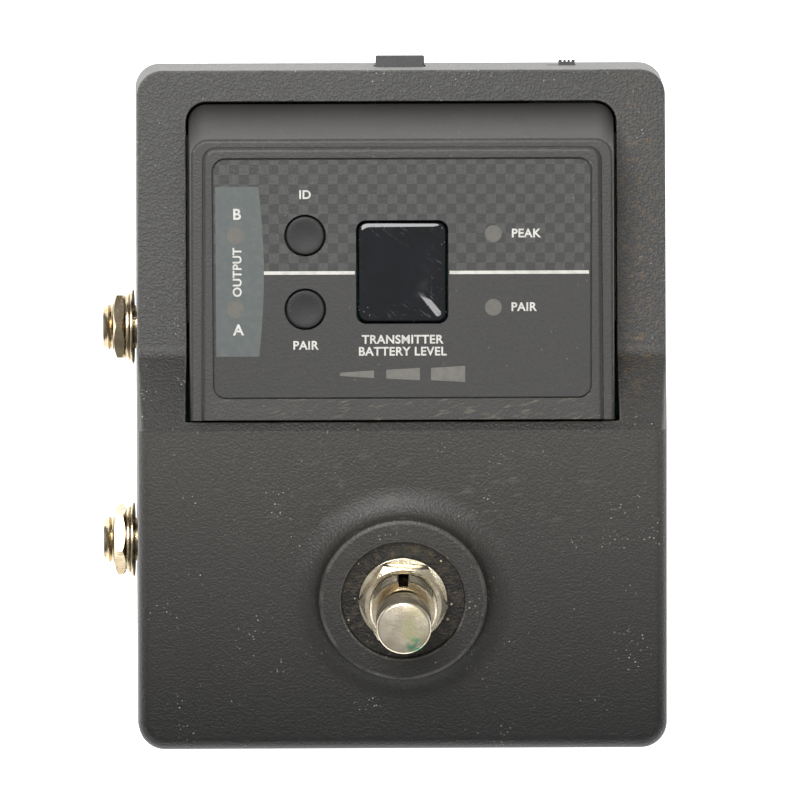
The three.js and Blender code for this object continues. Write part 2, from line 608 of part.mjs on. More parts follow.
const LABEL_POCKET = LABEL_SUNK + LABEL_THICKNESS + GAP;
const FACE_DROP = LABEL_POCKET + MODULE_WALL;
const labelOutline = (grow) => roundedOutline(LABEL_HALF + grow, -LABEL_LENGTH / 2 - grow,
  LABEL_LENGTH / 2 + grow, LABEL_CORNER + grow, LABEL_CORNER + grow);
const BUTTON_SPOTS = { id_button: [BUTTON_X, REAR_CONTROL], pair_button: [BUTTON_X, FRONT_CONTROL] };
const LAMP_SPOTS = {
  peak_led: [LAMP_X, REAR_CONTROL + LAMP_OFFSET],
  pair_led: [LAMP_X, FRONT_CONTROL + LAMP_OFFSET],
  output_b_led: [OUTPUT_LAMP_X, REAR_CONTROL],
  output_a_led: [OUTPUT_LAMP_X, FRONT_CONTROL],
};

function windowOutline(shrink) {
  const half = WINDOW_WIDTH / 2 - shrink;
  const reach = WINDOW_LENGTH / 2 - shrink;
  const corner = WINDOW_CORNER - shrink / 2;
  return roundedOutline(half, CONTROL_OFFSET - reach, CONTROL_OFFSET + reach, corner, corner);
}

function moduleHousing() {
  let solid = moduleForm(0, LEDGE_DROP).subtract(moduleForm(MODULE_WALL, FACE_DROP)).add(raisedFace());
  for (const side of [-1, 1]) {
    const x = side * (MODULE_HALF + EAR_WIDTH / 2 - OVERLAP);
    const ear = block(EAR_WIDTH + 2 * OVERLAP, EAR_LENGTH, EAR_THICKNESS, x, EAR_MIDDLE,
      EAR_TOP - EAR_THICKNESS);
    solid = solid.add(solidOf(ear));
  }
  for (const [x, y] of EAR_SPOTS) {
    const bottom = EAR_TOP - EAR_THICKNESS - CUT;
    const hole = rod(SMALL_SCREW_RADIUS + GAP, bottom, EAR_TOP + CUT, 12).translate(x, y, 0);
    solid = solid.subtract(solidOf(hole));
  }
  const through = -2 * FACE_DROP;
  const cuts = [prism(labelOutline(GAP), -LABEL_POCKET, CUT), prism(windowOutline(0), through, CUT)];
  for (const [x, y] of Object.values(BUTTON_SPOTS)) {
    cuts.push(rod(BUTTON_DIAMETER / 2 + BUTTON_CLEARANCE, through, CUT).translate(x, y, 0));
  }
  for (const [x, y] of Object.values(LAMP_SPOTS)) {
    cuts.push(rod(LAMP_DIAMETER / 2 + GAP, through, CUT, 12).translate(x, y, 0));
  }
  for (const cut of cuts) {
    solid = solid.subtract(solidOf(cut.applyMatrix4(FACE_FRAME)));
  }
  for (const [x, y] of BOARD_POST_SPOTS) {
    const bottom = -DISPLAY_BOARD_DROP + GAP;
    const post = rod(BOARD_POST_RADIUS, bottom, -FACE_DROP + OVERLAP, 12).translate(x, y, 0);
    solid = solid.add(solidOf(post.applyMatrix4(FACE_FRAME)));
  }
  return mesh('module_housing', geometryOf(solid), BLACK_PLASTIC);
}

function moduleScrews() {
  return EAR_SPOTS.map(([x, y], index) => {
    const reach = EAR_THICKNESS + EAR_BOSS + GAP;
    const piece = screw(`module_screw_${index + 1}`, SMALL_SCREW_RADIUS, SMALL_HEAD_RADIUS,
      SMALL_HEAD_HEIGHT, reach);
    piece.position.set(x, y, EAR_TOP - EAR_THICKNESS - STACK_GAP);
    return piece;
  });
}

// ------------------------------------------------ pieces in the frame of the face
function controlOverlay() {
  let solid = solidOf(prism(labelOutline(0), -LABEL_SUNK - LABEL_THICKNESS, -LABEL_SUNK));
  solid = solid.subtract(solidOf(prism(windowOutline(0), -CUT, CUT)));
  for (const [x, y] of Object.values(BUTTON_SPOTS)) {
    const hole = rod(BUTTON_DIAMETER / 2 + BUTTON_CLEARANCE, -CUT, CUT).translate(x, y, 0);
    solid = solid.subtract(solidOf(hole));
  }
  return mesh('control_overlay', geometryOf(solid), LABEL_FILM);
}

function displayLens() {
  const plate = prism(windowOutline(GAP), LENS_PROUD - LENS_THICKNESS, LENS_PROUD);
  return mesh('display_lens', geometryOf(solidOf(plate)), GLOSS_PLASTIC);
}

function numberDisplay() {
  const top = LENS_PROUD - LENS_THICKNESS - GAP;
  const bottom = -DISPLAY_BOARD_DROP + GAP;
  const width = WINDOW_WIDTH - 2 * DISPLAY_MARGIN;
  const length = WINDOW_LENGTH - 2 * DISPLAY_MARGIN;
  const body = block(width, length, top - bottom, 0, CONTROL_OFFSET, bottom);
  return mesh('number_display', geometryOf(solidOf(body)), GREY_PLASTIC);
}

const STEM_END = -DISPLAY_BOARD_DROP + GAP + TACT_HEIGHT + BUTTON_TRAVEL + TACT_GAP;

function button(name) {
  const cap = BUTTON_DIAMETER / 2;
  const flange = cap + BUTTON_FLANGE;
  const flangeTop = -FACE_DROP - STACK_GAP;
  const flangeBottom = flangeTop - BUTTON_FLANGE_THICKNESS;
  const outline = [[0, STEM_END], [BUTTON_STEM_RADIUS, STEM_END], [BUTTON_STEM_RADIUS, flangeBottom],
    [flange, flangeBottom], [flange, flangeTop], [cap, flangeTop], [cap, BUTTON_PROUD - BUTTON_EDGE],
    [cap - BUTTON_EDGE, BUTTON_PROUD], [0, BUTTON_PROUD - BUTTON_DISH]];
  const piece = mesh(name, geometryOf(solidOf(revolve(outline, 24))), BLACK_PLASTIC);
  piece.position.set(...BUTTON_SPOTS[name], 0);
  return piece;
}

function tactSwitch(name, spot) {
  const base = solidOf(block(TACT_SIDE, TACT_SIDE, TACT_HEIGHT - TACT_KEY_HEIGHT));
  const key = solidOf(rod(TACT_KEY_RADIUS, TACT_KEY_HEIGHT, TACT_HEIGHT, 12));
  const piece = mesh(name, geometryOf(base.add(key)), STEEL);
  piece.position.set(...spot, -DISPLAY_BOARD_DROP + GAP);
  return piece;
}

function lamp(name) {
  const bottom = -DISPLAY_BOARD_DROP + GAP;
  const top = -LABEL_POCKET;
  const radius = LAMP_DIAMETER / 2;
  const collar = radius + LAMP_COLLAR;
  const outline = [[0, bottom], [collar, bottom], [collar, bottom + LAMP_COLLAR_HEIGHT],
    [radius, bottom + LAMP_COLLAR_HEIGHT], [radius, top - LAMP_DOME], [radius - LAMP_DOME, top], [0, top]];
  const piece = mesh(name, geometryOf(solidOf(revolve(outline, 12))), LAMP_RESIN);
  piece.position.set(...LAMP_SPOTS[name], 0);
  return piece;
}

const DISPLAY_BOARD_HALF = FACE_HALF - MODULE_WALL - BOARD_CORNER;
const DISPLAY_BOARD_FRONT = (MODULE_FRONT - LABEL_MIDDLE) / Math.cos(FACE_TILT) + 2 * MODULE_WALL;
const DISPLAY_BOARD_REAR = LABEL_LENGTH / 2;
const BOARD_POST_YS = [DISPLAY_BOARD_FRONT + BOARD_POST_INSET, DISPLAY_BOARD_REAR - BOARD_POST_INSET];
const BOARD_POST_SPOTS = [-1, 1].flatMap((side) => BOARD_POST_YS
  .map((y) => [side * (DISPLAY_BOARD_HALF - BOARD_POST_INSET), y]));

function displayBoard() {
  const outline = roundedOutline(DISPLAY_BOARD_HALF, DISPLAY_BOARD_FRONT, DISPLAY_BOARD_REAR, BOARD_CORNER,
    BOARD_CORNER);
  const plate = prism(outline, -DISPLAY_BOARD_DROP - BOARD_THICKNESS, -DISPLAY_BOARD_DROP, 2);
  return mesh('display_board', geometryOf(solidOf(plate)), GREEN_BOARD);
}

function antenna(name, side) {
  const height = DISPLAY_BOARD_DROP - FACE_DROP - 2 * GAP;
  const y = DISPLAY_BOARD_REAR - ANTENNA_FROM_EDGE;
  const strip = block(ANTENNA_LENGTH, ANTENNA_THICKNESS, height, side * ANTENNA_FROM_MIDDLE, y,
    -DISPLAY_BOARD_DROP + GAP);
  return mesh(name, geometryOf(solidOf(strip)), GREEN_BOARD);
}

function facePieces() {
  const group = new THREE.Group();
  group.applyMatrix4(FACE_FRAME);
  group.add(controlOverlay(), displayLens(), numberDisplay(), displayBoard());
  for (const name of Object.keys(BUTTON_SPOTS)) {
    group.add(button(name), tactSwitch(name.replace('button', 'tact_switch'), BUTTON_SPOTS[name]));
  }
  for (const name of Object.keys(LAMP_SPOTS)) {
    group.add(lamp(name));
  }
  group.add(antenna('antenna_left', -1), antenna('antenna_right', 1));
  return group;
}

// ------------------------------------------------------------------ foot switch
const RECESS_FLOOR = BOSS_HEIGHT - RECESS_DEPTH;
const WASHER_BOTTOM = RECESS_FLOOR + STACK_GAP;
const NUT_BOTTOM = WASHER_BOTTOM + SWITCH_WASHER_THICKNESS + STACK_GAP;
const SWITCH_BODY_TOP = -WALL - GAP;
const BUSHING_TOP = BOSS_HEIGHT + BUSHING_ABOVE_RIM;
const PLUNGER_TOP = BOSS_HEIGHT + PLUNGER_ABOVE_RIM;
const PLUNGER_FOOT = SWITCH_BODY_TOP - PLUNGER_SUNK;
const WELL_FLOOR = PLUNGER_FOOT - SPRING_LENGTH;
const SWITCH_BODY_BOTTOM = SWITCH_BODY_TOP - SWITCH_BODY_LENGTH;

function switchBushing() {
  const bore = PLUNGER_NECK_RADIUS + PLUNGER_CLEARANCE;
  const bottom = SWITCH_BODY_TOP + STACK_GAP;
  const outline = [[bore, bottom], [BUSHING_RADIUS, bottom], [BUSHING_RADIUS, BUSHING_TOP - BUSHING_EDGE],
    [BUSHING_RADIUS - BUSHING_EDGE, BUSHING_TOP], [bore, BUSHING_TOP]];
  const keyway = block(KEYWAY_WIDTH, 2 * KEYWAY_DEPTH, 2 * BUSHING_TOP, 0, BUSHING_RADIUS);
  const solid = solidOf(revolve(outline)).subtract(solidOf(keyway));
  return mesh('foot_switch_bushing', geometryOf(solid), NICKEL);
}

function switchWasher() {
  const ring = rod(SWITCH_WASHER_RADIUS, WASHER_BOTTOM, WASHER_BOTTOM + SWITCH_WASHER_THICKNESS, 32);
  const hole = rod(BUSHING_RADIUS + GAP, 0, BUSHING_TOP);
  return mesh('foot_switch_washer', geometryOf(solidOf(ring).subtract(solidOf(hole))), NICKEL);
}

function switchNut() {
  const hex = hexagon(SWITCH_NUT_FLATS, NUT_BOTTOM, NUT_BOTTOM + SWITCH_NUT_HEIGHT)
    .rotateZ(radians(30) + SWITCH_NUT_TURN);
  const hole = rod(BUSHING_RADIUS + GAP, 0, BUSHING_TOP);
  return mesh('foot_switch_nut', geometryOf(solidOf(hex).subtract(solidOf(hole))), NICKEL);
}

function switchPlunger() {
  const capBottom = BUSHING_TOP + CAP_ABOVE_BUSHING;
  const inner = PLUNGER_RADIUS - PLUNGER_EDGE;
  const outline = [[0, PLUNGER_FOOT], [PLUNGER_NECK_RADIUS, PLUNGER_FOOT], [PLUNGER_NECK_RADIUS, capBottom],
    [inner, capBottom], [PLUNGER_RADIUS, capBottom + PLUNGER_EDGE],
    [PLUNGER_RADIUS, PLUNGER_TOP - PLUNGER_EDGE], [inner, PLUNGER_TOP], [0, PLUNGER_TOP]];
  return mesh('foot_switch_plunger', geometryOf(solidOf(revolve(outline))), NICKEL);
}

function switchBody() {
  const side = SWITCH_BODY_SIDE;
  const shell = block(side, side, SWITCH_BODY_LENGTH, 0, 0, SWITCH_BODY_BOTTOM);
  const well = rod(PLUNGER_NECK_RADIUS + WELL_CLEARANCE, WELL_FLOOR, SWITCH_BODY_TOP + CUT);
  return mesh('foot_switch_body', geometryOf(solidOf(shell).subtract(solidOf(well))), BLACK_PLASTIC);
}

class SpringCurve extends THREE.Curve {
  constructor(radius, bottom, top, turns) {
    super();
    Object.assign(this, { radius, bottom, top, turns });
  }

  getPoint(t, target = new THREE.Vector3()) {
    const turn = t * this.turns * 2 * Math.PI;
    const height = THREE.MathUtils.lerp(this.bottom, this.top, t);
    return target.set(this.radius * Math.cos(turn), this.radius * Math.sin(turn), height);
  }
}

function switchSpring() {
  const bottom = WELL_FLOOR + GAP + SPRING_WIRE;
  const top = PLUNGER_FOOT - GAP - SPRING_WIRE;
  const path = new SpringCurve(SPRING_RADIUS, bottom, top, SPRING_TURNS);
  const corners = [0, 60, 120, 180, 240, 300].map(radians)
    .map((turn) => new THREE.Vector2(SPRING_WIRE * Math.cos(turn), SPRING_WIRE * Math.sin(turn)));
  const settings = { steps: SPRING_TURNS * 10, extrudePath: path, bevelEnabled: false };
  const coil = new THREE.ExtrudeGeometry(new THREE.Shape(corners), settings);
  return mesh('foot_switch_spring', geometryOf(solidOf(coil)), STEEL);
}

function switchTerminals() {
  const top = SWITCH_BODY_BOTTOM - STACK_GAP;
  const plateBottom = top - TERMINAL_PLATE[2];
  let solid = solidOf(block(...TERMINAL_PLATE, 0, 0, plateBottom));
  for (const x of TERMINAL_XS) {
    for (const y of TERMINAL_YS) {
      const pin = block(...TERMINAL_PIN, x, y, plateBottom + OVERLAP / 2 - TERMINAL_PIN[2]);
      solid = solid.add(solidOf(pin));
    }
  }
  return mesh('foot_switch_terminals', geometryOf(solid), BRASS);
}

function footSwitch() {
  const group = new THREE.Group();
  group.applyMatrix4(SWITCH_FRAME);
  group.add(switchBushing(), switchWasher(), switchNut(), switchPlunger(), switchBody(), switchSpring(),
    switchTerminals());
  return group;
}

// ------------------------------------------------------------------------ jacks
// Each jack is built along +Z from the wall's outer face at height 0, then laid over.
function jack(name, nutTurn) {
  const flangeTop = -WALL - JACK_SEAT;
  const flangeBottom = flangeTop - JACK_FLANGE_THICKNESS + STACK_GAP;
  const bodyTop = flangeBottom - STACK_GAP;
  const bushing = revolve([[JACK_BORE_RADIUS, flangeBottom], [JACK_FLANGE_RADIUS, flangeBottom],
    [JACK_FLANGE_RADIUS, flangeTop], [JACK_THREAD_RADIUS, flangeTop],
    [JACK_THREAD_RADIUS, JACK_REACH - JACK_THREAD_EDGE],
    [JACK_THREAD_RADIUS - JACK_THREAD_EDGE, JACK_REACH], [JACK_BORE_RADIUS, JACK_REACH]], 24);
  const pieces = [mesh(`${name}_bushing`, geometryOf(solidOf(bushing)), NICKEL)];
  let height = JACK_SEAT;
  JACK_WASHER_RADII.forEach((radius, index) => {
    const thickness = JACK_WASHER_THICKNESS[index];
    const ring = solidOf(rod(radius, height, height + thickness));
    const hole = solidOf(rod(JACK_THREAD_RADIUS + GAP, -CUT, 2 * JACK_REACH));
    pieces.push(mesh(`${name}_washer_${index + 1}`, geometryOf(ring.subtract(hole)), NICKEL));
    height += thickness + STACK_GAP;
  });
  const nut = solidOf(hexagon(JACK_NUT_FLATS, height, height + JACK_NUT_HEIGHT).rotateZ(nutTurn))
    .subtract(solidOf(rod(JACK_THREAD_RADIUS + GAP, -CUT, 2 * JACK_REACH)));
  pieces.push(mesh(`${name}_nut`, geometryOf(nut), NICKEL));
  const bodyEnd = bodyTop - JACK_BODY_LENGTH;
  const shell = block(JACK_BODY_SIDE, JACK_BODY_SIDE, JACK_BODY_LENGTH, 0, 0, bodyEnd);
  const socket = rod(JACK_BORE_RADIUS, bodyEnd + JACK_BODY_WALL, bodyTop + CUT);
  pieces.push(mesh(`${name}_jack`, geometryOf(solidOf(shell).subtract(solidOf(socket))), BLACK_PLASTIC));
  pieces.push(jackContact(name, bodyEnd));
  return pieces;
}

// A bent strip: along the top of the jack's body, then down behind it to the board.
function jackContact(name, bodyEnd) {
  const half = JACK_BODY_SIDE / 2;
  const start = bodyEnd - GAP - CONTACT_THICKNESS;
  const outside = half + GAP + CONTACT_THICKNESS;
  const along = block(CONTACT_THICKNESS, CONTACT_WIDTH, CONTACT_REACH, outside - CONTACT_THICKNESS / 2, 0,
    start);
  const behind = block(outside + half, CONTACT_WIDTH, CONTACT_THICKNESS, (outside - half) / 2, 0, start);
  return mesh(`${name}_contact`, geometryOf(solidOf(along).add(solidOf(behind))), BRASS);
}

function jacks() {
  return Object.entries(JACK_YS).map(([name, y]) => {
    const group = new THREE.Group();
    group.position.set(-sideX(JACK_HEIGHT), y, JACK_HEIGHT);
    group.rotation.y = -Math.PI / 2;
    group.add(...jack(name, JACK_NUT_TURNS[name]));
    return group;
  });
}

// -------------------------------------------------------- boards and rear fittings
function mainBoard() {
  const shape = new THREE.Shape();
  shape.moveTo(-BOARD_HALF, BOARD_FRONT);
  shape.lineTo(BOARD_HALF, BOARD_FRONT);
  shape.lineTo(BOARD_HALF, TONGUE_START);
  shape.lineTo(TONGUE_HALF, TONGUE_START);
  shape.lineTo(TONGUE_HALF, BOARD_REAR);
  shape.lineTo(-TONGUE_HALF, BOARD_REAR);
  shape.lineTo(-TONGUE_HALF, TONGUE_START);
  shape.lineTo(-BOARD_HALF, TONGUE_START);
  const plate = prism(shape, MAIN_BOARD_TOP - BOARD_THICKNESS, MAIN_BOARD_TOP);
  return mesh('main_board', geometryOf(solidOf(plate)), GREEN_BOARD);
}

function radioShield() {
  const can = solidOf(block(...SHIELD_SIZE, ...SHIELD_SPOT, MAIN_BOARD_TOP + GAP));
  const [width, depth, height] = SHIELD_SIZE;
  const inside = block(width - 2 * SHIELD_WALL, depth - 2 * SHIELD_WALL, height - SHIELD_WALL + GAP,
    ...SHIELD_SPOT, MAIN_BOARD_TOP);
  return mesh('radio_shield', geometryOf(can.subtract(solidOf(inside))), STEEL);
}

function dcJack() {
  const end = rearY(DC_Z) + DC_PROUD;
  const body = block(DC_WIDTH, DC_LENGTH, DC_HEIGHT, 0, end - DC_LENGTH / 2, DC_Z - DC_HEIGHT / 2);
  const socket = rod(DC_SOCKET_RADIUS, -DC_SOCKET_DEPTH, CUT).rotateX(-Math.PI / 2)
    .translate(0, end, DC_Z);
  const pin = rod(DC_PIN_RADIUS, -DC_SOCKET_DEPTH + GAP, -DC_PIN_SUNK, 16).rotateX(-Math.PI / 2)
    .translate(0, end, DC_Z);
  return [
    mesh('dc_jack', geometryOf(solidOf(body).subtract(solidOf(socket))), BLACK_PLASTIC),
    mesh('dc_jack_pin', geometryOf(solidOf(pin)), NICKEL),
  ];
}

function modeSwitch() {
  const slotX = MODE_FROM_MIDDLE - MODE_TRAVEL / 2;
  const height = 2 * MODE_AXIS_ABOVE_BOARD;
  const face = rearY(MODE_Z + height / 2) - WALL - GAP;
  const frame = block(MODE_FRAME_WIDTH, MODE_FRAME_DEPTH, height, slotX, face - MODE_FRAME_DEPTH / 2,
    MODE_Z - height / 2);
  const pocket = block(MODE_KNOB_WIDTH + MODE_TRAVEL + 2 * GAP, 2 * MODE_POCKET_DEPTH,
    MODE_KNOB_HEIGHT + 2 * GAP, slotX, face, MODE_Z - MODE_KNOB_HEIGHT / 2 - GAP);
  const start = face - MODE_KNOB_SUNK;
  const end = rearY(MODE_Z) + MODE_KNOB_PROUD;
  const form = block(MODE_KNOB_WIDTH, end - start, MODE_KNOB_HEIGHT, MODE_FROM_MIDDLE, (start + end) / 2,
    MODE_Z - MODE_KNOB_HEIGHT / 2);
  let knob = solidOf(form);
  for (const place of [-1, 0, 1]) {
    const x = MODE_FROM_MIDDLE + place * MODE_GRIP_PITCH;
    const groove = block(MODE_GRIP_WIDTH, 2 * MODE_GRIP_DEPTH, 2 * MODE_KNOB_HEIGHT, x, end,
      MODE_Z - MODE_KNOB_HEIGHT);
    knob = knob.subtract(solidOf(groove));
  }
  return [
    mesh('mode_switch_frame', geometryOf(solidOf(frame).subtract(solidOf(pocket))), STEEL),
    mesh('mode_switch_slider', geometryOf(knob), BLACK_PLASTIC),
  ];
}

// A flat cable from the display board down to the main board.
function ribbonCable() {
  const underBoard = -DISPLAY_BOARD_DROP - BOARD_THICKNESS - GAP;
  const top = new THREE.Vector3(0, 0, underBoard).applyMatrix4(FACE_FRAME);
  const bottom = new THREE.Vector3(0, top.y - RIBBON_STEP, MAIN_BOARD_TOP + GAP);
  const middle = (top.z + bottom.z) / 2;
  const bends = [new THREE.Vector3(0, top.y, middle), new THREE.Vector3(0, bottom.y, middle)];
  const path = new THREE.CubicBezierCurve3(top, ...bends, bottom);
  const [x, y] = [RIBBON_WIDTH / 2, RIBBON_THICKNESS / 2];
  const corners = [[-x, -y], [x, -y], [x, y], [-x, y]].map((corner) => new THREE.Vector2(...corner));
  const settings = { steps: 12, extrudePath: path, bevelEnabled: false };
  const strip = new THREE.ExtrudeGeometry(new THREE.Shape(corners), settings);
  return mesh('ribbon_cable', geometryOf(solidOf(strip)), GREY_PLASTIC);
}

// ------------------------------------------------------------------------ assembly
const receiver = new THREE.Group();
receiver.add(enclosure(), basePlate(), ...baseScrews(), ...rubberFeet());
receiver.add(moduleHousing(), ...moduleScrews(), facePieces(), footSwitch(), ...jacks());
receiver.add(mainBoard(), radioShield(), ...dcJack(), ...modeSwitch(), ribbonCable());
receiver.position.set(-BOX_MIDDLE_X, 0, 0);

export default receiver;
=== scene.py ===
"""Looks of a floor-pedal wireless receiver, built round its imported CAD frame.

Lengths in the tables below are in millimetres; MM turns them to the frame's metres.
Tilted pieces are made flat, in a place of their own, and then laid on the face or the foot slope.
"""

import json
import math

import bmesh
import bpy
from mathutils import Matrix, Vector


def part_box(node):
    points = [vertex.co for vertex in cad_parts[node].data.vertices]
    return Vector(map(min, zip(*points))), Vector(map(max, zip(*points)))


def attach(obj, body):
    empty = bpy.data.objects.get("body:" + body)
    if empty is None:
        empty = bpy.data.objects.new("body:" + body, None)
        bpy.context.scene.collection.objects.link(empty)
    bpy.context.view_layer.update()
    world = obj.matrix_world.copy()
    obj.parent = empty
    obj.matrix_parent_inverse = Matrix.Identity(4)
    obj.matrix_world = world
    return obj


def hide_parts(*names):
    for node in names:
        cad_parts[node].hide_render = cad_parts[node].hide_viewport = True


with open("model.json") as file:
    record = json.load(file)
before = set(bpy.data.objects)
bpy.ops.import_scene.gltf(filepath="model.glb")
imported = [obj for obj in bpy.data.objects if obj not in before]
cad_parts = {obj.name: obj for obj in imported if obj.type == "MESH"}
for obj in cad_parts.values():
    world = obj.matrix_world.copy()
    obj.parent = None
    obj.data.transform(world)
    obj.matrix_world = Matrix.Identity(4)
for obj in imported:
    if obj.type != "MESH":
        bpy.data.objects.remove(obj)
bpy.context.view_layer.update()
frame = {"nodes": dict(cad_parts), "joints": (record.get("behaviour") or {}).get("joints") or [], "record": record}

MM = 0.001
PIXELS = 800
FULL_TURN = 2 * math.pi


# ------------------------------------------------------------ places from the frame
def joint_way(name):
    """Unit vector that points out of the face a button or plunger is pressed into."""
    joint = next(j for j in frame["joints"] if j["name"] == name)
    return -Vector(joint["axis"]).normalized()


def middle_of(node):
    low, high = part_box(node)
    return (low + high) / 2


def end_of(node, way):
    """Middle of the flat end of a CAD node that lies furthest along a direction."""
    points = [v.co for v in frame["nodes"][node].data.vertices]
    reach = max(p.dot(way) for p in points)
    end = [p for p in points if reach - p.dot(way) < 0.01 * MM]
    low = Vector(min(p[i] for p in end) for i in range(3))
    high = Vector(max(p[i] for p in end) for i in range(3))
    return (low + high) / 2


def placed(origin, up, side=(1, 0, 0)):
    """Matrix of a place with its Z along up and its X as near to side as it can be."""
    up = Vector(up).normalized()
    across = (Vector(side) - up * Vector(side).dot(up)).normalized()
    turn = Matrix((across, up.cross(across), up)).transposed().to_4x4()
    return Matrix.Translation(origin) @ turn


FACE_UP = joint_way("id_button_press")
SLOPE_UP = joint_way("foot_switch_press")
BODY_X = middle_of("enclosure").x
LABEL_LOW, LABEL_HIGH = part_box("control_overlay")
LABEL_HALF = (LABEL_HIGH.x - LABEL_LOW.x) / 2
LABEL_THICK = 0.4 * MM
LABEL_MIDDLE = middle_of("control_overlay")
LABEL_REACH = ((LABEL_HIGH.y - LABEL_LOW.y) + LABEL_THICK * FACE_UP.y) / 2 / FACE_UP.z
FACE = placed(LABEL_MIDDLE + FACE_UP * LABEL_THICK / 2, FACE_UP)
FACE_TILT = math.asin(-FACE_UP.y)
SWITCH_AXIS = end_of("foot_switch_plunger", SLOPE_UP)
ENCLOSURE_LOW, ENCLOSURE_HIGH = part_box("enclosure")
MODULE_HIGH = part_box("module_housing")[1]
DECK = 48 * MM
CREST_Y = -4.85 * MM


# ------------------------------------------------------------------- material tools
def linear(code, alpha=1.0):
    """Linear RGBA of an sRGB hex code."""
    parts = [int(code[i:i + 2], 16) / 255 for i in (1, 3, 5)]
    return (*[p / 12.92 if p <= 0.04045 else ((p + 0.055) / 1.055) ** 2.4 for p in parts], alpha)


def add(tree, kind, inputs=None, **settings):
    """Adds one node, with its settings, and its inputs as values or links."""
    made = tree.nodes.new("ShaderNode" + kind)
    for key, value in settings.items():
        setattr(made, key, value)
    for key, value in (inputs or {}).items():
        socket = made.inputs[key]
        if isinstance(value, bpy.types.NodeSocket):
            tree.links.new(value, socket)
        else:
            socket.default_value = value
    return made


def new_material(name, **values):
    """A material and its surface shader, with the shader's uniform values set."""
    material = bpy.data.materials.new(name)
    material.use_nodes = True
    tree = material.node_tree
    tree.nodes.clear()
    surface = add(tree, "BsdfPrincipled")
    for key, value in values.items():
        surface.inputs[key].default_value = value
    add(tree, "OutputMaterial", {"Surface": surface.outputs["BSDF"]})
    return material, tree, surface


def where(tree, at=(0, 0, 0), turn=(0, 0, 0), unit=(1, 1, 1)):
    """Object coordinates measured from a point, turned, and counted in units of a length."""
    coordinates = add(tree, "TexCoord")
    mapping = add(tree, "Mapping", {
        "Vector": coordinates.outputs["Object"], "Location": at, "Rotation": turn, "Scale": unit,
    }, vector_type="TEXTURE")
    return mapping.outputs["Vector"]


def cloud(tree, size, low, high, stretch=(1, 1, 1), turn=(0, 0, 0), detail=3.0, rough=0.55,
          at=(0, 0, 0)):
    """Soft noise with blobs of a size in mm, from 0 below low to 1 above high."""
    unit = tuple(size * MM * s for s in stretch)
    noise = add(tree, "TexNoise", {
        "Vector": where(tree, at=at, turn=turn, unit=unit),
        "Scale": 1.0, "Detail": detail, "Roughness": rough,
    })
    span = add(tree, "MapRange", {
        "Value": noise.outputs["Fac"], "From Min": low, "From Max": high, "To Min": 0.0, "To Max": 1.0,
    }, interpolation_type="SMOOTHSTEP")
    return span.outputs["Result"]


def specks(tree, spacing, radius, stretch=(1, 1, 1), turn=(0, 0, 0), at=(0, 0, 0)):
    """Scattered dots: spacing between them and largest radius, in mm."""
    unit = tuple(spacing * MM * s for s in stretch)
    cells = add(tree, "TexVoronoi", {"Vector": where(tree, at=at, turn=turn, unit=unit), "Scale": 1.0})
    span = add(tree, "MapRange", {
        "Value": cells.outputs["Distance"], "To Min": 0.0, "To Max": 1.0,
        "From Min": radius / spacing, "From Max": 0.6 * radius / spacing,
    })
    return span.outputs["Result"]


def within(tree, middle, half, soft, turn=(0, 0, 0)):
    """1 inside an upright or turned oval area seen from above, fading out over a soft share of it."""
    flat = add(tree, "VectorMath", {
        0: where(tree, at=middle, turn=turn, unit=(half[0], half[1], 1)), 1: (1, 1, 0),
    }, operation="MULTIPLY")
    length = add(tree, "VectorMath", {0: flat.outputs["Vector"]}, operation="LENGTH")
    span = add(tree, "MapRange", {
        "Value": length.outputs["Value"], "From Min": 1.0 + soft, "From Max": 1.0 - soft,
        "To Min": 0.0, "To Max": 1.0,
    }, interpolation_type="SMOOTHSTEP")
    return span.outputs["Result"]


def blend(tree, share, first, second):
    """Colour first where share is 0 and second where it is 1."""
    mixed = add(tree, "Mix", {0: share, 6: first, 7: second}, data_type="RGBA")
    return mixed.outputs[2]


def sum_up(tree, operation, first, second, clamp=False):
    return add(tree, "Math", {0: first, 1: second}, operation=operation, use_clamp=clamp).outputs[0]


def relief(tree, height, depth, strength=1.0, under=None):
    """Normal of a bumpy surface whose height input runs over a depth in mm."""
    inputs = {"Height": height, "Distance": depth * MM, "Strength": strength}
    if under is not None:
        inputs["Normal"] = under
    return add(tree, "Bump", inputs).outputs["Normal"]


def ranged(tree, value, low, high):
    return add(tree, "MapRange", {"Value": value, "To Min": low, "To Max": high}).outputs["Result"]


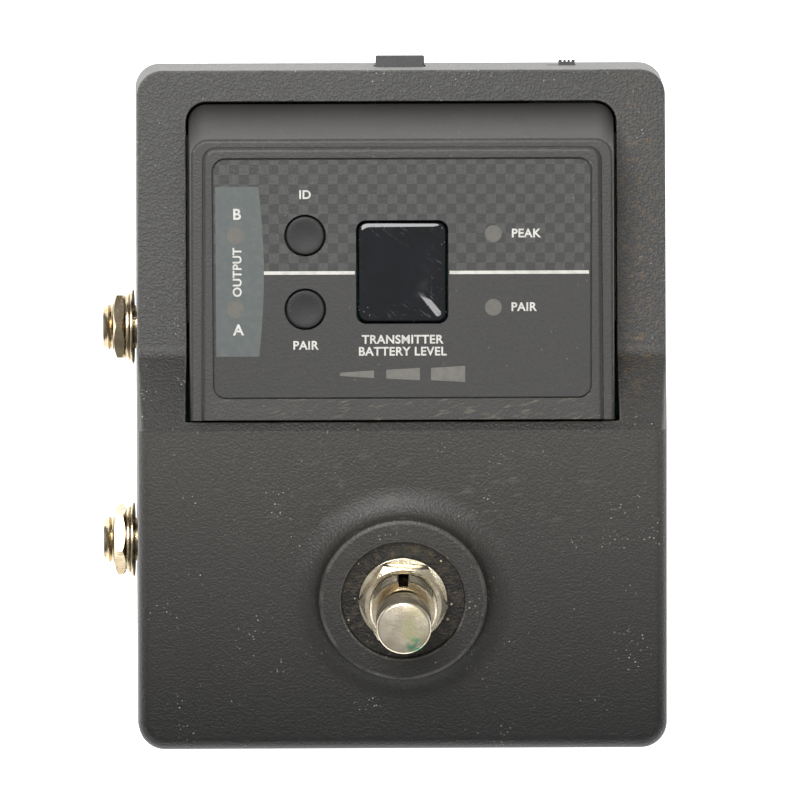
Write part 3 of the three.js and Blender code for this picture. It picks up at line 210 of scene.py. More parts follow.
# ------------------------------------------------------------------------ materials
def powder_coat():
    """Die-cast aluminium under charcoal powder coat: fine orange peel, scuffed and dusty, with painted shade
    towards its front and painted light near the crest.
    """
    material, tree, surface = new_material("powder_coated_aluminium", Roughness=0.5)
    tone = blend(tree, cloud(tree, 18, 0.3, 0.7), linear("#282725"), linear("#2c2b29"))
    grain = cloud(tree, 0.45, 0.3, 0.7, detail=2.0)
    tone = blend(tree, ranged(tree, grain, 0.0, 0.4), tone, linear("#43423e"))
    # Dry rub marks in front of the crest, and lighter ones anywhere.
    slope_rub = sum_up(tree, "MULTIPLY",
                       cloud(tree, 1.6, 0.56, 0.72, stretch=(2.2, 0.8, 1), turn=(0, 0, 0.35)),
                       within(tree, (BODY_X + 4 * MM, CREST_Y - 13 * MM, 0), (34 * MM, 9 * MM), 0.5))
    any_rub = cloud(tree, 2.6, 0.66, 0.86, stretch=(0.5, 3.0, 1), turn=(0, 0, 0.8), detail=5.0)
    rub = sum_up(tree, "ADD", ranged(tree, slope_rub, 0.0, 0.42), ranged(tree, any_rub, 0.0, 0.25),
                 clamp=True)
    tone = blend(tree, rub, tone, linear("#696762"))
    dust = sum_up(tree, "ADD", specks(tree, 2.4, 0.17), specks(tree, 5.2, 0.3, stretch=(0.6, 1.2, 1)),
                  clamp=True)
    tone = blend(tree, ranged(tree, dust, 0.0, 0.5), tone, linear("#8b877d"))
    # Painted shade that darkens the body towards the front of the slope, and painted light: a lighter band on
    # up-facing surfaces, strongest just in front of the crest and fading towards the front.
    from_crest = where(tree, at=(0, CREST_Y, 0), unit=(MM, MM, MM))
    down = add(tree, "SeparateXYZ", {"Vector": from_crest}).outputs["Y"]
    upward = add(tree, "MapRange", {
        "Value": down, "From Min": -56.0, "From Max": -2.0, "To Min": 0.0, "To Max": 1.0,
    }).outputs["Result"]
    lying = add(tree, "SeparateXYZ", {"Vector": add(tree, "TexCoord").outputs["Normal"]}).outputs["Z"]
    lying = add(tree, "MapRange", {"Value": lying, "From Min": 0.5, "From Max": 0.8}).outputs["Result"]
    crest_painted_light = sum_up(tree, "MULTIPLY", upward, sum_up(tree, "LESS_THAN", down, 0.0))
    crest_painted_light = sum_up(tree, "MULTIPLY", crest_painted_light, lying)
    # Painted shade: near-black, growing towards the front.
    tone = blend(tree, ranged(tree, upward, 0.95, 0.1), tone, linear("#0a0908"))
    # Painted light: lighter on up-facing faces just in front of the crest.
    tone = blend(tree, ranged(tree, crest_painted_light, 0.0, 0.24), tone, linear("#5a5853"))
    # Pale grit in drifts, as feet leave it.
    drifts = sum_up(tree, "MULTIPLY", specks(tree, 0.85, 0.16), cloud(tree, 7, 0.55, 0.68, detail=4.0))
    tone = blend(tree, ranged(tree, drifts, 0.0, 0.75), tone, linear("#a8a49a"))
    # Brown and black grime packed round the switch, its dark tone partly painted shade in the recess.
    ring = middle_of("foot_switch_washer")
    well = within(tree, (ring.x, ring.y, 0), (11.2 * MM, 10.8 * MM), 0.06)
    grime_and_shade = blend(tree, cloud(tree, 1.7, 0.45, 0.68, detail=6.0, rough=0.7),
                 linear("#0d0b08"), linear("#3d3423"))
    tone = blend(tree, ranged(tree, well, 0.0, 0.92), tone, grime_and_shade)
    flecks = sum_up(tree, "MULTIPLY", specks(tree, 1.9, 0.24), well)
    tone = blend(tree, ranged(tree, flecks, 0.0, 0.8), tone, linear("#c2b795"))
    # Brown dirt down the right side of the opening.
    right_bar = (MODULE_HIGH.x - 2 * MM, CREST_Y + 34 * MM, 0)
    dirt = sum_up(tree, "MULTIPLY", cloud(tree, 1.6, 0.5, 0.66, detail=6.0, rough=0.75),
                  within(tree, right_bar, (4.5 * MM, 30 * MM), 0.45))
    tone = blend(tree, ranged(tree, dirt, 0.0, 0.85), tone, linear("#55442c"))
    # Edges lightened, partly as polish from handling and partly as a painted highlight, with chips through to the
    # metal.
    edge = add(tree, "Attribute", attribute_name="edge").outputs["Fac"]
    tone = blend(tree, sum_up(tree, "MULTIPLY", edge, cloud(tree, 5, 0.35, 0.6)), tone, linear("#45433f"))
    chips = sum_up(tree, "MULTIPLY", edge, cloud(tree, 1.1, 0.69, 0.74, detail=4.0, at=(3 * MM, 5 * MM, 0)))
    tone = blend(tree, chips, tone, linear("#aaa598"))
    tree.links.new(tone, surface.inputs["Base Color"])
    tree.links.new(ranged(tree, rub, 0.5, 0.72), surface.inputs["Roughness"])
    tree.links.new(relief(tree, grain, 0.06), surface.inputs["Normal"])
    return material


def moulded_abs():
    """Spark-eroded black ABS: dull, even, a little greyed by wear, with dust in its corners."""
    material, tree, surface = new_material("moulded_abs", Roughness=0.5)
    tone = blend(tree, cloud(tree, 14, 0.3, 0.7), linear("#2c2b29"), linear("#31302e"))
    grain = cloud(tree, 0.4, 0.3, 0.7, detail=2.0)
    tone = blend(tree, ranged(tree, grain, 0.0, 0.3), tone, linear("#3e3c39"))
    front_rub = sum_up(tree, "MULTIPLY",
                       cloud(tree, 0.9, 0.56, 0.7, stretch=(3.5, 0.6, 1), turn=(0, 0, 0.25), detail=5.0),
                       within(tree, (BODY_X + 8 * MM, CREST_Y + 4 * MM, 0), (44 * MM, 4 * MM), 0.35))
    tone = blend(tree, ranged(tree, front_rub, 0.0, 0.4), tone, linear("#77715f"))
    tone = blend(tree, ranged(tree, specks(tree, 2.6, 0.18), 0.0, 0.45), tone, linear("#7d786d"))
    tree.links.new(tone, surface.inputs["Base Color"])
    tree.links.new(relief(tree, grain, 0.025), surface.inputs["Normal"])
    return material


CHECK = 1.76                  # side of one printed square
DIVIDER_Y = 1.07
DIVIDER_HALF = 0.3            # half the width of the white line


def printed_film():
    """Screen-printed polycarbonate film: satin, with a fine woven check printed on its rear half."""
    material, tree, surface = new_material("printed_polycarbonate_film", Roughness=0.42)
    face_origin = tuple(FACE.translation)
    turn = (FACE_TILT, 0, 0)
    local = where(tree, at=face_origin, turn=turn, unit=(CHECK * MM, CHECK * MM, 1))
    shifted = add(tree, "VectorMath", {0: local, 1: (0.5, 0.4, 0.5)}, operation="ADD")
    check = add(tree, "TexChecker", {
        "Vector": shifted.outputs["Vector"], "Color1": (1, 1, 1, 1), "Color2": (0, 0, 0, 1), "Scale": 1.0,
    })
    along = cloud(tree, 0.35, 0.3, 0.7, stretch=(5, 1, 1), turn=turn, detail=1.0)
    across = cloud(tree, 0.35, 0.3, 0.7, stretch=(1, 5, 1), turn=turn, detail=1.0)
    weave = blend(tree, check.outputs["Fac"], along, across)
    light = blend(tree, weave, linear("#343432"), linear("#3e3e3b"))
    dark = blend(tree, weave, linear("#242322"), linear("#2a2928"))
    checked = blend(tree, check.outputs["Fac"], dark, light)
    plain = blend(tree, cloud(tree, 0.5, 0.3, 0.7, detail=2.0), linear("#252423"), linear("#2b2a28"))
    on_label = where(tree, at=face_origin, turn=turn, unit=(MM, MM, MM))
    separate = add(tree, "SeparateXYZ", {"Vector": on_label})
    rear = sum_up(tree, "GREATER_THAN", separate.outputs["Y"], DIVIDER_Y)
    tone = blend(tree, rear, plain, checked)
    scratches = cloud(tree, 0.9, 0.7, 0.78, stretch=(0.35, 4.5, 1), turn=(0, 0, -0.6), detail=4.0)
    scratches = sum_up(tree, "ADD", scratches,
                       cloud(tree, 0.8, 0.71, 0.79, stretch=(4.5, 0.4, 1), turn=(0, 0, 0.3), detail=4.0),
                       clamp=True)
    tone = blend(tree, ranged(tree, scratches, 0.0, 0.4), tone, linear("#6e6b65"))
    tone = blend(tree, ranged(tree, specks(tree, 2.3, 0.15), 0.0, 0.5), tone, linear("#7a766d"))
    tree.links.new(tone, surface.inputs["Base Color"])
    fine = cloud(tree, 0.5, 0.3, 0.7, detail=2.0)
    tree.links.new(relief(tree, fine, 0.012), surface.inputs["Normal"])
    return material


def print_ink(name, code, worn):
    """Screen-print ink: flat, a little thin, dulled where fingers rub it."""
    material, tree, surface = new_material(name, Roughness=0.5)
    tone = blend(tree, cloud(tree, 1.2, 0.35, 0.75, detail=4.0), linear(code), linear(worn))
    tree.links.new(tone, surface.inputs["Base Color"])
    tree.links.new(relief(tree, cloud(tree, 0.4, 0.3, 0.7), 0.008), surface.inputs["Normal"])
    return material


def smoked_acrylic():
    """Polished smoked acrylic: near-black gloss with hairline scratches and dust along its edge."""
    material, tree, surface = new_material("smoked_acrylic", IOR=1.49)
    tone = blend(tree, cloud(tree, 7, 0.35, 0.65), linear("#060709"), linear("#0a0c12"))
    low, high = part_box("display_lens")
    middle = tuple((low + high) / 2)
    half = ((high.x - low.x) / 2, (high.y - low.y) / 2)
    rim = add(tree, "Math", {0: 1.0, 1: within(tree, middle, half, 0.12)}, operation="SUBTRACT").outputs[0]
    dust = sum_up(tree, "MULTIPLY", specks(tree, 0.9, 0.16), rim)
    dust = sum_up(tree, "ADD", dust, specks(tree, 3.4, 0.14), clamp=True)
    tone = blend(tree, ranged(tree, dust, 0.0, 0.7), tone, linear("#66686d"))
    tree.links.new(tone, surface.inputs["Base Color"])
    hairlines = cloud(tree, 0.5, 0.62, 0.75, stretch=(0.3, 7, 1), turn=(0, 0, 0.9), detail=3.0)
    smear = cloud(tree, 4, 0.45, 0.7, detail=5.0)
    dullness = sum_up(tree, "ADD", ranged(tree, hairlines, 0.03, 0.2), ranged(tree, smear, 0.0, 0.08))
    tree.links.new(dullness, surface.inputs["Roughness"])
    tree.links.new(relief(tree, hairlines, 0.004), surface.inputs["Normal"])
    return material


def silicone_rubber():
    """Hard silicone keys: satin black, greyed by finger dust."""
    material, tree, surface = new_material("silicone_rubber", Roughness=0.48, IOR=1.43)
    tone = blend(tree, cloud(tree, 2.5, 0.35, 0.7, detail=4.0), linear("#191818"), linear("#1f1e1d"))
    tone = blend(tree, ranged(tree, specks(tree, 1.6, 0.16), 0.0, 0.5), tone, linear("#55524e"))
    tree.links.new(tone, surface.inputs["Base Color"])
    tree.links.new(relief(tree, cloud(tree, 0.3, 0.3, 0.7), 0.01), surface.inputs["Normal"])
    return material


def nickel_plate(name, patina, amount, dull="#b8b0a2", bright="#cfc9bd"):
    """Nickel-plated turned brass: warm grey, brushed by wear, with a patina of dirt and verdigris."""
    material, tree, surface = new_material(name, Metallic=1.0)
    tone = blend(tree, cloud(tree, 3, 0.35, 0.65), linear(dull), linear(bright))
    stain = cloud(tree, 1.6, 0.62 - amount, 0.8 - amount, detail=6.0, rough=0.7)
    tone = blend(tree, ranged(tree, stain, 0.0, 0.75), tone, linear(patina))
    tree.links.new(tone, surface.inputs["Base Color"])
    tree.links.new(ranged(tree, stain, 0.2, 0.5), surface.inputs["Roughness"])
    tree.links.new(relief(tree, cloud(tree, 0.35, 0.35, 0.65), 0.01), surface.inputs["Normal"])
    return material


def foot_worn_nickel():
    """The foot switch's cap: nickel rubbed warm, with a yellow-green bloom and verdigris to the right."""
    material, tree, surface = new_material("foot_worn_nickel", Metallic=1.0)
    tone = blend(tree, cloud(tree, 3, 0.35, 0.65), linear("#cdc0a8"), linear("#e6dcc8"))
    top = end_of("foot_switch_plunger", SLOPE_UP)
    bloom = sum_up(tree, "MULTIPLY", cloud(tree, 2.2, 0.3, 0.6, detail=5.0),
                   within(tree, (top.x + 1.9 * MM, top.y - 0.4 * MM, 0), (2.2 * MM, 4.2 * MM), 0.35))
    tone = blend(tree, ranged(tree, bloom, 0.0, 0.75), tone, linear("#b6b489"))
    green = sum_up(tree, "MULTIPLY", cloud(tree, 1.1, 0.4, 0.6, detail=6.0, rough=0.7),
                   within(tree, (top.x + 2.0 * MM, top.y - 2.9 * MM, 0), (1.5 * MM, 1.3 * MM), 0.4))
    tone = blend(tree, ranged(tree, green, 0.0, 0.85), tone, linear("#4fa583"))
    pits = specks(tree, 1.1, 0.13)
    tone = blend(tree, ranged(tree, pits, 0.0, 0.45), tone, linear("#6a6353"))
    tree.links.new(tone, surface.inputs["Base Color"])
    tree.links.new(ranged(tree, bloom, 0.3, 0.5), surface.inputs["Roughness"])
    tree.links.new(relief(tree, cloud(tree, 0.35, 0.35, 0.65), 0.01), surface.inputs["Normal"])
    return material


def simple_surface(name, first, second, size, roughness, depth, metallic=0.0):
    """A moulded, painted or plated surface of one colour with its own fine unevenness."""
    material, tree, surface = new_material(name, Roughness=roughness, Metallic=metallic)
    tone = blend(tree, cloud(tree, size, 0.3, 0.7, detail=4.0), linear(first), linear(second))
    tree.links.new(tone, surface.inputs["Base Color"])
    tree.links.new(relief(tree, cloud(tree, size / 6, 0.3, 0.7), depth), surface.inputs["Normal"])
    return material


COAT = powder_coat()
ABS = moulded_abs()
FILM = printed_film()
WHITE_INK = print_ink("white_screen_ink", "#c6c4be", "#b0aea7")
PANEL_INK = print_ink("blue_grey_screen_ink", "#4b5150", "#535857")
GREY_INK = print_ink("grey_screen_ink", "#66645d", "#5c5a54")
LAMP_WINDOW = print_ink("diffusing_lamp_window", "#5e5b55", "#56544e")
ACRYLIC = smoked_acrylic()
RUBBER_KEY = silicone_rubber()
NICKEL = nickel_plate("nickel_plated_brass", "#6a5c46", 0.05, "#b3a285", "#cfc0a2")
OLD_NICKEL = nickel_plate("tarnished_nickel", "#8d8568", 0.03, "#c9bda4", "#e2d8c2")
CAP_NICKEL = foot_worn_nickel()
ZINC = simple_surface("zinc_plated_steel", "#a9acb0", "#8f9396", 2.0, 0.35, 0.01, 1.0)
BASE_PAINT = simple_surface("black_painted_steel", "#2b2a2a", "#343332", 6.0, 0.5, 0.02)
FOOT_RUBBER = simple_surface("black_rubber", "#1f1e1e", "#2a2928", 3.0, 0.8, 0.03)
BOARD = simple_surface("solder_mask", "#1d5a34", "#236b3e", 5.0, 0.4, 0.01)
BRASS = simple_surface("bright_brass", "#b5943f", "#c8a850", 2.0, 0.3, 0.005, 1.0)
RESIN = simple_surface("diffused_resin", "#a3a79b", "#b4b8ac", 1.0, 0.3, 0.005)
NYLON = simple_surface("black_nylon", "#1d1d1d", "#282727", 1.5, 0.5, 0.01)
GREY_MOULDING = simple_surface("grey_moulding", "#c2c2bc", "#cfcfca", 3.0, 0.5, 0.01)

SLOT_MATERIALS = {
    "body_paint": COAT, "module_plastic": ABS, "label_film": FILM, "display_window": ACRYLIC,
    "button_rubber": RUBBER_KEY, "nickel_plate": NICKEL, "zinc_steel": ZINC, "base_steel": BASE_PAINT,
    "foot_rubber": FOOT_RUBBER, "circuit_board": BOARD, "contact_brass": BRASS, "lamp_resin": RESIN,
    "black_moulding": NYLON, "grey_moulding": GREY_MOULDING,
}
NODE_SLOTS = {part["node"]: part["material_slot"] for part in frame["record"]["subparts"]}


# ---------------------------------------------------------------------- piece tools
def finished(name, bm, material, stands_for=(), body="body", place=None, sharp=32):
    """Turns a bmesh to a named piece: placed, smoothed up to the sharp angle, on its body."""
    if place is not None:
        bm.transform(place)
    data = bpy.data.meshes.new(name)
    for edge in bm.edges:
        edge.smooth = edge.calc_face_angle(0) < math.radians(sharp)
    for face in bm.faces:
        face.smooth = True
    bm.to_mesh(data)
    bm.free()
    data.materials.append(material)
    made = bpy.data.objects.new(name, data)
    bpy.context.scene.collection.objects.link(made)
    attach(made, body)
    if stands_for:
        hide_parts(*stands_for)
    return made


def flat_weights(made):
    """Keeps wide flat faces flat beside their rounded edges."""
    weighted = made.modifiers.new("weights", "WEIGHTED_NORMAL")
    weighted.keep_sharp = True
    weighted.weight = 100
    return made


def lathe(outline, steps=64):
    """Spins [radius, height] points in mm about Z; outlines start and end on the axis, or close up."""
    bm = bmesh.new()
    points = [bm.verts.new((radius * MM, 0, height * MM)) for radius, height in outline]
    edges = [bm.edges.new(pair) for pair in zip(points, points[1:])]
    if outline[0][0] > 0 and outline[0] != outline[-1]:
        edges.append(bm.edges.new((points[-1], points[0])))
    bmesh.ops.spin(bm, geom=points + edges, cent=(0, 0, 0), axis=(0, 0, 1), angle=FULL_TURN,
                   steps=steps, use_merge=True)
    bmesh.ops.remove_doubles(bm, verts=bm.verts, dist=0.001 * MM)
    bmesh.ops.recalc_face_normals(bm, faces=bm.faces)
    return bm


def arc(centre, radius, start, end, count=5):
    """Points of a round edge from one angle to another, in degrees from the radius direction."""
    turns = [math.radians(start + (end - start) * i / count) for i in range(count + 1)]
    return [(centre[0] + radius * math.cos(t), centre[1] + radius * math.sin(t)) for t in turns]


def thread(radius, start, end, pitch, depth):
    """Outline of the ridges of a fine thread between two heights."""
    turns = max(1, round((end - start) / pitch))
    step = (end - start) / turns
    points = []
    for i in range(turns):
        points += [(radius - depth, start + i * step), (radius, start + (i + 0.5) * step)]
    return points + [(radius - depth, end)]


def rounded_rectangle(half_x, half_y, corner, count=8):
    """Points round a rectangle with round corners, anticlockwise from above, in mm."""
    points = []
    for quarter, (sx, sy) in enumerate([(1, 1), (-1, 1), (-1, -1), (1, -1)]):
        middle = (sx * (half_x - corner), sy * (half_y - corner))
        points += arc(middle, corner, 90 * quarter, 90 * quarter + 90, count)
    return points


def slab(outline, bottom, top):
    """A flat plate with this outline, in mm."""
    bm = bmesh.new()
    face = bm.faces.new([bm.verts.new((x * MM, y * MM, bottom * MM)) for x, y in outline])
    lifted = bmesh.ops.extrude_face_region(bm, geom=[face])["geom"]
    raised = [v for v in lifted if isinstance(v, bmesh.types.BMVert)]
    bmesh.ops.translate(bm, verts=raised, vec=(0, 0, (top - bottom) * MM))
    bmesh.ops.recalc_face_normals(bm, faces=bm.faces)
    return bm


def soften(bm, width, segments=2, angle=30, wanted=lambda middle: True):
    """Rounds the sharp edges that are wanted, and marks the new faces as edge."""
    layer = bm.faces.layers.float.get("edge") or bm.faces.layers.float.new("edge")
    edges = [e for e in bm.edges if e.is_manifold and e.calc_face_angle(0) > math.radians(angle)
             and wanted((e.verts[0].co + e.verts[1].co) / 2)]
    made = bmesh.ops.bevel(bm, geom=edges, offset=width * MM, offset_type="OFFSET", segments=segments,
                           profile=0.5, affect="EDGES", clamp_overlap=False, material=-1)
    for face in made["faces"]:
        face[layer] = 1.0
    return bm


def copy_of(node):
    """A CAD node's mesh, merged, with its flat faces made whole."""
    bm = bmesh.new()
    bm.from_mesh(frame["nodes"][node].data)
    bmesh.ops.remove_doubles(bm, verts=bm.verts, dist=0.002 * MM)
    bmesh.ops.dissolve_limit(bm, angle_limit=math.radians(0.6), verts=bm.verts, edges=bm.edges)
    return bm


def merged(parts):
    """One bmesh out of several."""
    whole = bmesh.new()
    for part in parts:
        data = bpy.data.meshes.new("part")
        part.to_mesh(data)
        part.free()
        whole.from_mesh(data)
        bpy.data.meshes.remove(data)
    return whole


# ----------------------------------------------------------------------- cast body
SLOPE_EDGE = 2.3              # radius of the slope's side edges
CORNER_REACH = 3              # the ramp's corners at the crest lie this near the body's widest place


def enclosure():
    bm = copy_of("enclosure")
    rim = ENCLOSURE_LOW.z
    half = (ENCLOSURE_HIGH.x - ENCLOSURE_LOW.x) / 2

    def outer(point):
        return abs(point.x - BODY_X) > half - 5 * MM or abs(point.y) > 57 * MM

    def top_edge(point):
        return point.z > DECK - 0.1 * MM and point.y > CREST_Y + 0.3 * MM

    def boss_rim(point):
        away = point - SWITCH_AXIS
        height = away.dot(SLOPE_UP)
        radius = (away - SLOPE_UP * height).length
        return radius < 16 * MM and radius > 10.5 * MM and height > -16.1 * MM

    # The ramp's sharp side edges come down to the middle of the slope's round ones at the crest.
    drop = SLOPE_EDGE * (1 - math.cos(math.pi / 4)) * MM
    for v in bm.verts:
        from_middle = v.co.x - BODY_X
        at_crest = abs(v.co.y - CREST_Y) < 0.05 * MM and v.co.z > ENCLOSURE_HIGH.z - 0.05 * MM
        if at_crest and abs(from_middle) > half - CORNER_REACH * MM:
            v.co.x -= math.copysign(drop, from_middle)
            v.co.z -= drop
    soften(bm, 0.35, wanted=top_edge)
    soften(bm, 0.4, wanted=boss_rim)
    soften(bm, 0.3, wanted=lambda p: p.z < rim + 0.01 * MM and outer(p))
    return flat_weights(finished("cast_body", bm, COAT, ["enclosure"]))


def module_cover():
    bm = copy_of("module_housing")

    def label_pocket(point):
        return point.z > DECK + 5 * MM and (point - FACE.translation).dot(FACE_UP) > -0.2 * MM

    soften(bm, 0.12, wanted=label_pocket)
    return flat_weights(finished("module_cover", bm, ABS, ["module_housing"]))


enclosure()
module_cover()


# ---------------------------------------------------------------- face of the module
WINDOW = (8.25, 9.3, 1.8)      # half width, half length and corner of the lens opening
CONTROLS_Y = 1.15              # middle of the controls behind the label's middle
LAMP_RADIUS = 1.5
PRINT = 0.03                   # ink above the film


def holed_plate(outline, holes, bottom, top):
    """A plate with holes: rings of points joined by their faces, then thickened."""
    bm = bmesh.new()
    edges = []
    for ring in [outline, *holes]:
        corners = [bm.verts.new((x * MM, y * MM, bottom * MM)) for x, y in ring]
        edges += [bm.edges.new(pair) for pair in zip(corners, corners[1:] + corners[:1])]
    faces = bmesh.ops.triangle_fill(bm, use_beauty=True, use_dissolve=False, edges=edges)["geom"]
    faces = [f for f in faces if isinstance(f, bmesh.types.BMFace)]
    lifted = bmesh.ops.extrude_face_region(bm, geom=faces)["geom"]
    raised = [v for v in lifted if isinstance(v, bmesh.types.BMVert)]
    bmesh.ops.translate(bm, verts=raised, vec=(0, 0, (top - bottom) * MM))
    bmesh.ops.recalc_face_normals(bm, faces=bm.faces)
    return bm


def circle(middle, radius, count=40):
    turns = [FULL_TURN * i / count for i in range(count)]
    return [(middle[0] + radius * math.cos(t), middle[1] + radius * math.sin(t)) for t in turns]


def on_face(node, way):
    """A CAD node's end, in mm across and along the label from its middle."""
    local = FACE.inverted() @ end_of(node, way)
    return local.x / MM, local.y / MM


KEYS = {name: on_face(name, FACE_UP) for name in ("id_button", "pair_button")}
LAMPS = {name: on_face(name, FACE_UP) for name in ("peak_led", "pair_led", "output_b_led", "output_a_led")}
KEY_RADIUS = 3.45
FLANGE = (-4.0, -3.2)          # underside and top of a key's flange, from its end


def control_label():
    window = [(x, y + CONTROLS_Y) for x, y in rounded_rectangle(*WINDOW)]
    holes = [window] + [circle(middle, KEY_RADIUS + 0.3, 64) for middle in KEYS.values()]
    outline = rounded_rectangle(LABEL_HALF / MM, LABEL_REACH / MM, 2.1)
    bm = holed_plate(outline, holes, -LABEL_THICK / MM, 0)
    finished("control_label", bm, FILM, ["control_overlay"], place=FACE)


def lettering(words, middle, height, turned=False):
    """Flat sans capitals, centred on a point of the label, as a mesh in mm."""
    curve = bpy.data.curves.new("letters", "FONT")
    curve.body = words
    curve.size = height / 0.7
    curve.align_x = "CENTER"
    curve.align_y = "CENTER"
    curve.offset = 0.035 * height
    curve.extrude = PRINT / 2
    curve.space_character = 1.06
    made = bpy.data.objects.new("letters", curve)
    bpy.context.scene.collection.objects.link(made)
    bpy.context.view_layer.update()
    data = bpy.data.meshes.new_from_object(made.evaluated_get(bpy.context.evaluated_depsgraph_get()))
    bpy.data.objects.remove(made)
    bm = bmesh.new()
    bm.from_mesh(data)
    bpy.data.meshes.remove(data)
    bmesh.ops.remove_doubles(bm, verts=bm.verts, dist=0.0005)
    turn = Matrix.Rotation(math.pi / 2 if turned else 0, 4, "Z")
    shift = Matrix.Translation((middle[0] * MM, middle[1] * MM, PRINT / 2 * MM))
    bm.transform(shift @ turn @ Matrix.Scale(MM, 4))
    return bm


PANEL = {"left": -33.3, "right": -25.6, "bulge": 0.9, "front": -13.9, "rear": 16.5}
CAPTIONS = [
    ("ID", (KEYS["id_button"][0], 15.0), 1.5, False),
    ("PAIR", (KEYS["pair_button"][0], -12.0), 1.5, False),
    ("PEAK", (22.1, LAMPS["peak_led"][1]), 1.5, False),
    ("PAIR", (21.7, LAMPS["pair_led"][1]), 1.5, False),
    ("TRANSMITTER\nBATTERY LEVEL", (0, -12.05), 1.5, False),
    ("B", (-29.5, 11.5), 1.9, False),
    ("OUTPUT", (-29.4, 1.2), 1.5, True),
    ("A", (-29.3, -9.2), 1.9, False),
]
WEDGES = [(-11.2, -5.1, 0.57, 1.37), (-2.9, 3.1, 1.6, 2.2), (5.1, 11.2, 2.2, 2.9)]
WEDGE_Y = -17.15


def prints():
    panel = [(PANEL["left"], PANEL["front"])]
    for i in range(13):
        share = i / 12
        y = PANEL["front"] + share * (PANEL["rear"] - PANEL["front"])
        panel.append((PANEL["right"] + PANEL["bulge"] * math.sin(math.pi * share), y))
    panel.append((PANEL["left"], PANEL["rear"]))
    finished("output_panel_print", slab(panel, 0, PRINT / 2), PANEL_INK, place=FACE)
    wedges = []
    for left, right, small, large in WEDGES:
        corners = [(left, WEDGE_Y - small / 2), (right, WEDGE_Y - large / 2),
                   (right, WEDGE_Y + large / 2), (left, WEDGE_Y + small / 2)]
        wedges.append(slab(corners, 0, PRINT))
    finished("battery_wedges_print", merged(wedges), GREY_INK, place=FACE)
    bars = []
    panel_edge = PANEL["right"] + PANEL["bulge"]
    for left, right in [(panel_edge, -WINDOW[0] - 0.2), (WINDOW[0] + 0.2, LABEL_HALF / MM - 0.2)]:
        front, rear = DIVIDER_Y - DIVIDER_HALF, DIVIDER_Y + DIVIDER_HALF
        corners = [(left, front), (right, front), (right, rear), (left, rear)]
        bars.append(slab(corners, 0, PRINT))
    finished("divider_print", merged(bars), WHITE_INK, place=FACE)
    letters = [lettering(*caption) for caption in CAPTIONS]
    finished("captions_print", merged(letters), WHITE_INK, place=FACE)
    for name, middle in LAMPS.items():
        disc = slab(circle(middle, LAMP_RADIUS), 0, PRINT)
        finished(name.replace("led", "window"), disc, LAMP_WINDOW, place=FACE)


def display_window():
    """A thick lens with a rounded rim and a shallow dome."""
    low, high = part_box("display_lens")
    half_x = (high.x - low.x) / 2 / MM
    top = (end_of("display_lens", FACE_UP) - FACE.translation).dot(FACE_UP) / MM
    bottom = (end_of("display_lens", -FACE_UP) - FACE.translation).dot(FACE_UP) / MM
    half_y = WINDOW[1] - 0.3
    ring = rounded_rectangle(half_x, half_y, WINDOW[2] - 0.15, 6)
    bm = bmesh.new()
    corners = [bm.verts.new((x * MM, (y + CONTROLS_Y) * MM, bottom * MM)) for x, y in ring]
    edges = [bm.edges.new(pair) for pair in zip(corners, corners[1:] + corners[:1])]
    bmesh.ops.contextual_create(bm, geom=edges)
    middle = Vector((0, CONTROLS_Y * MM, 0))
    crown = 0.45
    rim = 0.55
    levels = [(1.0, top - crown - rim)]
    levels += [(1 - rim * (1 - math.cos(t)) / half_x, top - crown - rim + rim * math.sin(t) * 0.9)
               for t in (math.radians(18 * i) for i in range(1, 5))]
    start = levels[-1]
    for i in range(1, 13):
        share = start[0] * (1 - i / 13)
        rise = 1 - (share / start[0]) ** 2
        levels.append((share, start[1] + (top - start[1]) * rise))
    scale = 1.0
    for share, height in levels:
        made = bmesh.ops.extrude_edge_only(bm, edges=edges)["geom"]
        edges = [e for e in made if isinstance(e, bmesh.types.BMEdge) and e.is_boundary]
        moved = [v for v in made if isinstance(v, bmesh.types.BMVert)]
        for v in moved:
            v.co = middle + (v.co - middle) * (share / scale)
            v.co.z = height * MM
        scale = share
    bmesh.ops.contextual_create(bm, geom=edges)
    bmesh.ops.recalc_face_normals(bm, faces=bm.faces)
    finished("display_window", bm, ACRYLIC, ["display_lens"], place=FACE, sharp=50)


def keys():
    for name, body in (("id_button", "id_button"), ("pair_button", "pair_button")):
        end = end_of(name, FACE_UP)
        place = placed(end, FACE_UP)
        foot = (end_of(name, -FACE_UP) - end).dot(FACE_UP) / MM
        edge = 0.35
        outline = [(0, foot), (1.6, foot), (1.6, FLANGE[0]), (KEY_RADIUS + 1, FLANGE[0]),
                   (KEY_RADIUS + 1, FLANGE[1]), (KEY_RADIUS, FLANGE[1])]
        outline += arc((KEY_RADIUS - edge, -edge), edge, 0, 90)
        outline += [(2.4, -0.06), (1.2, -0.16), (0, -0.2)]
        finished(f"{name}_key", lathe(outline, 72), RUBBER_KEY, [name], body=body, place=place, sharp=50)


control_label()
prints()
display_window()
keys()


# ----------------------------------------------------------------------- foot switch
SWITCH = placed(SWITCH_AXIS, SLOPE_UP)


def level(node, way):
    """Height of a CAD node's end above the top of the plunger, in mm along the switch."""
    return (end_of(node, way) - SWITCH_AXIS).dot(SLOPE_UP) / MM


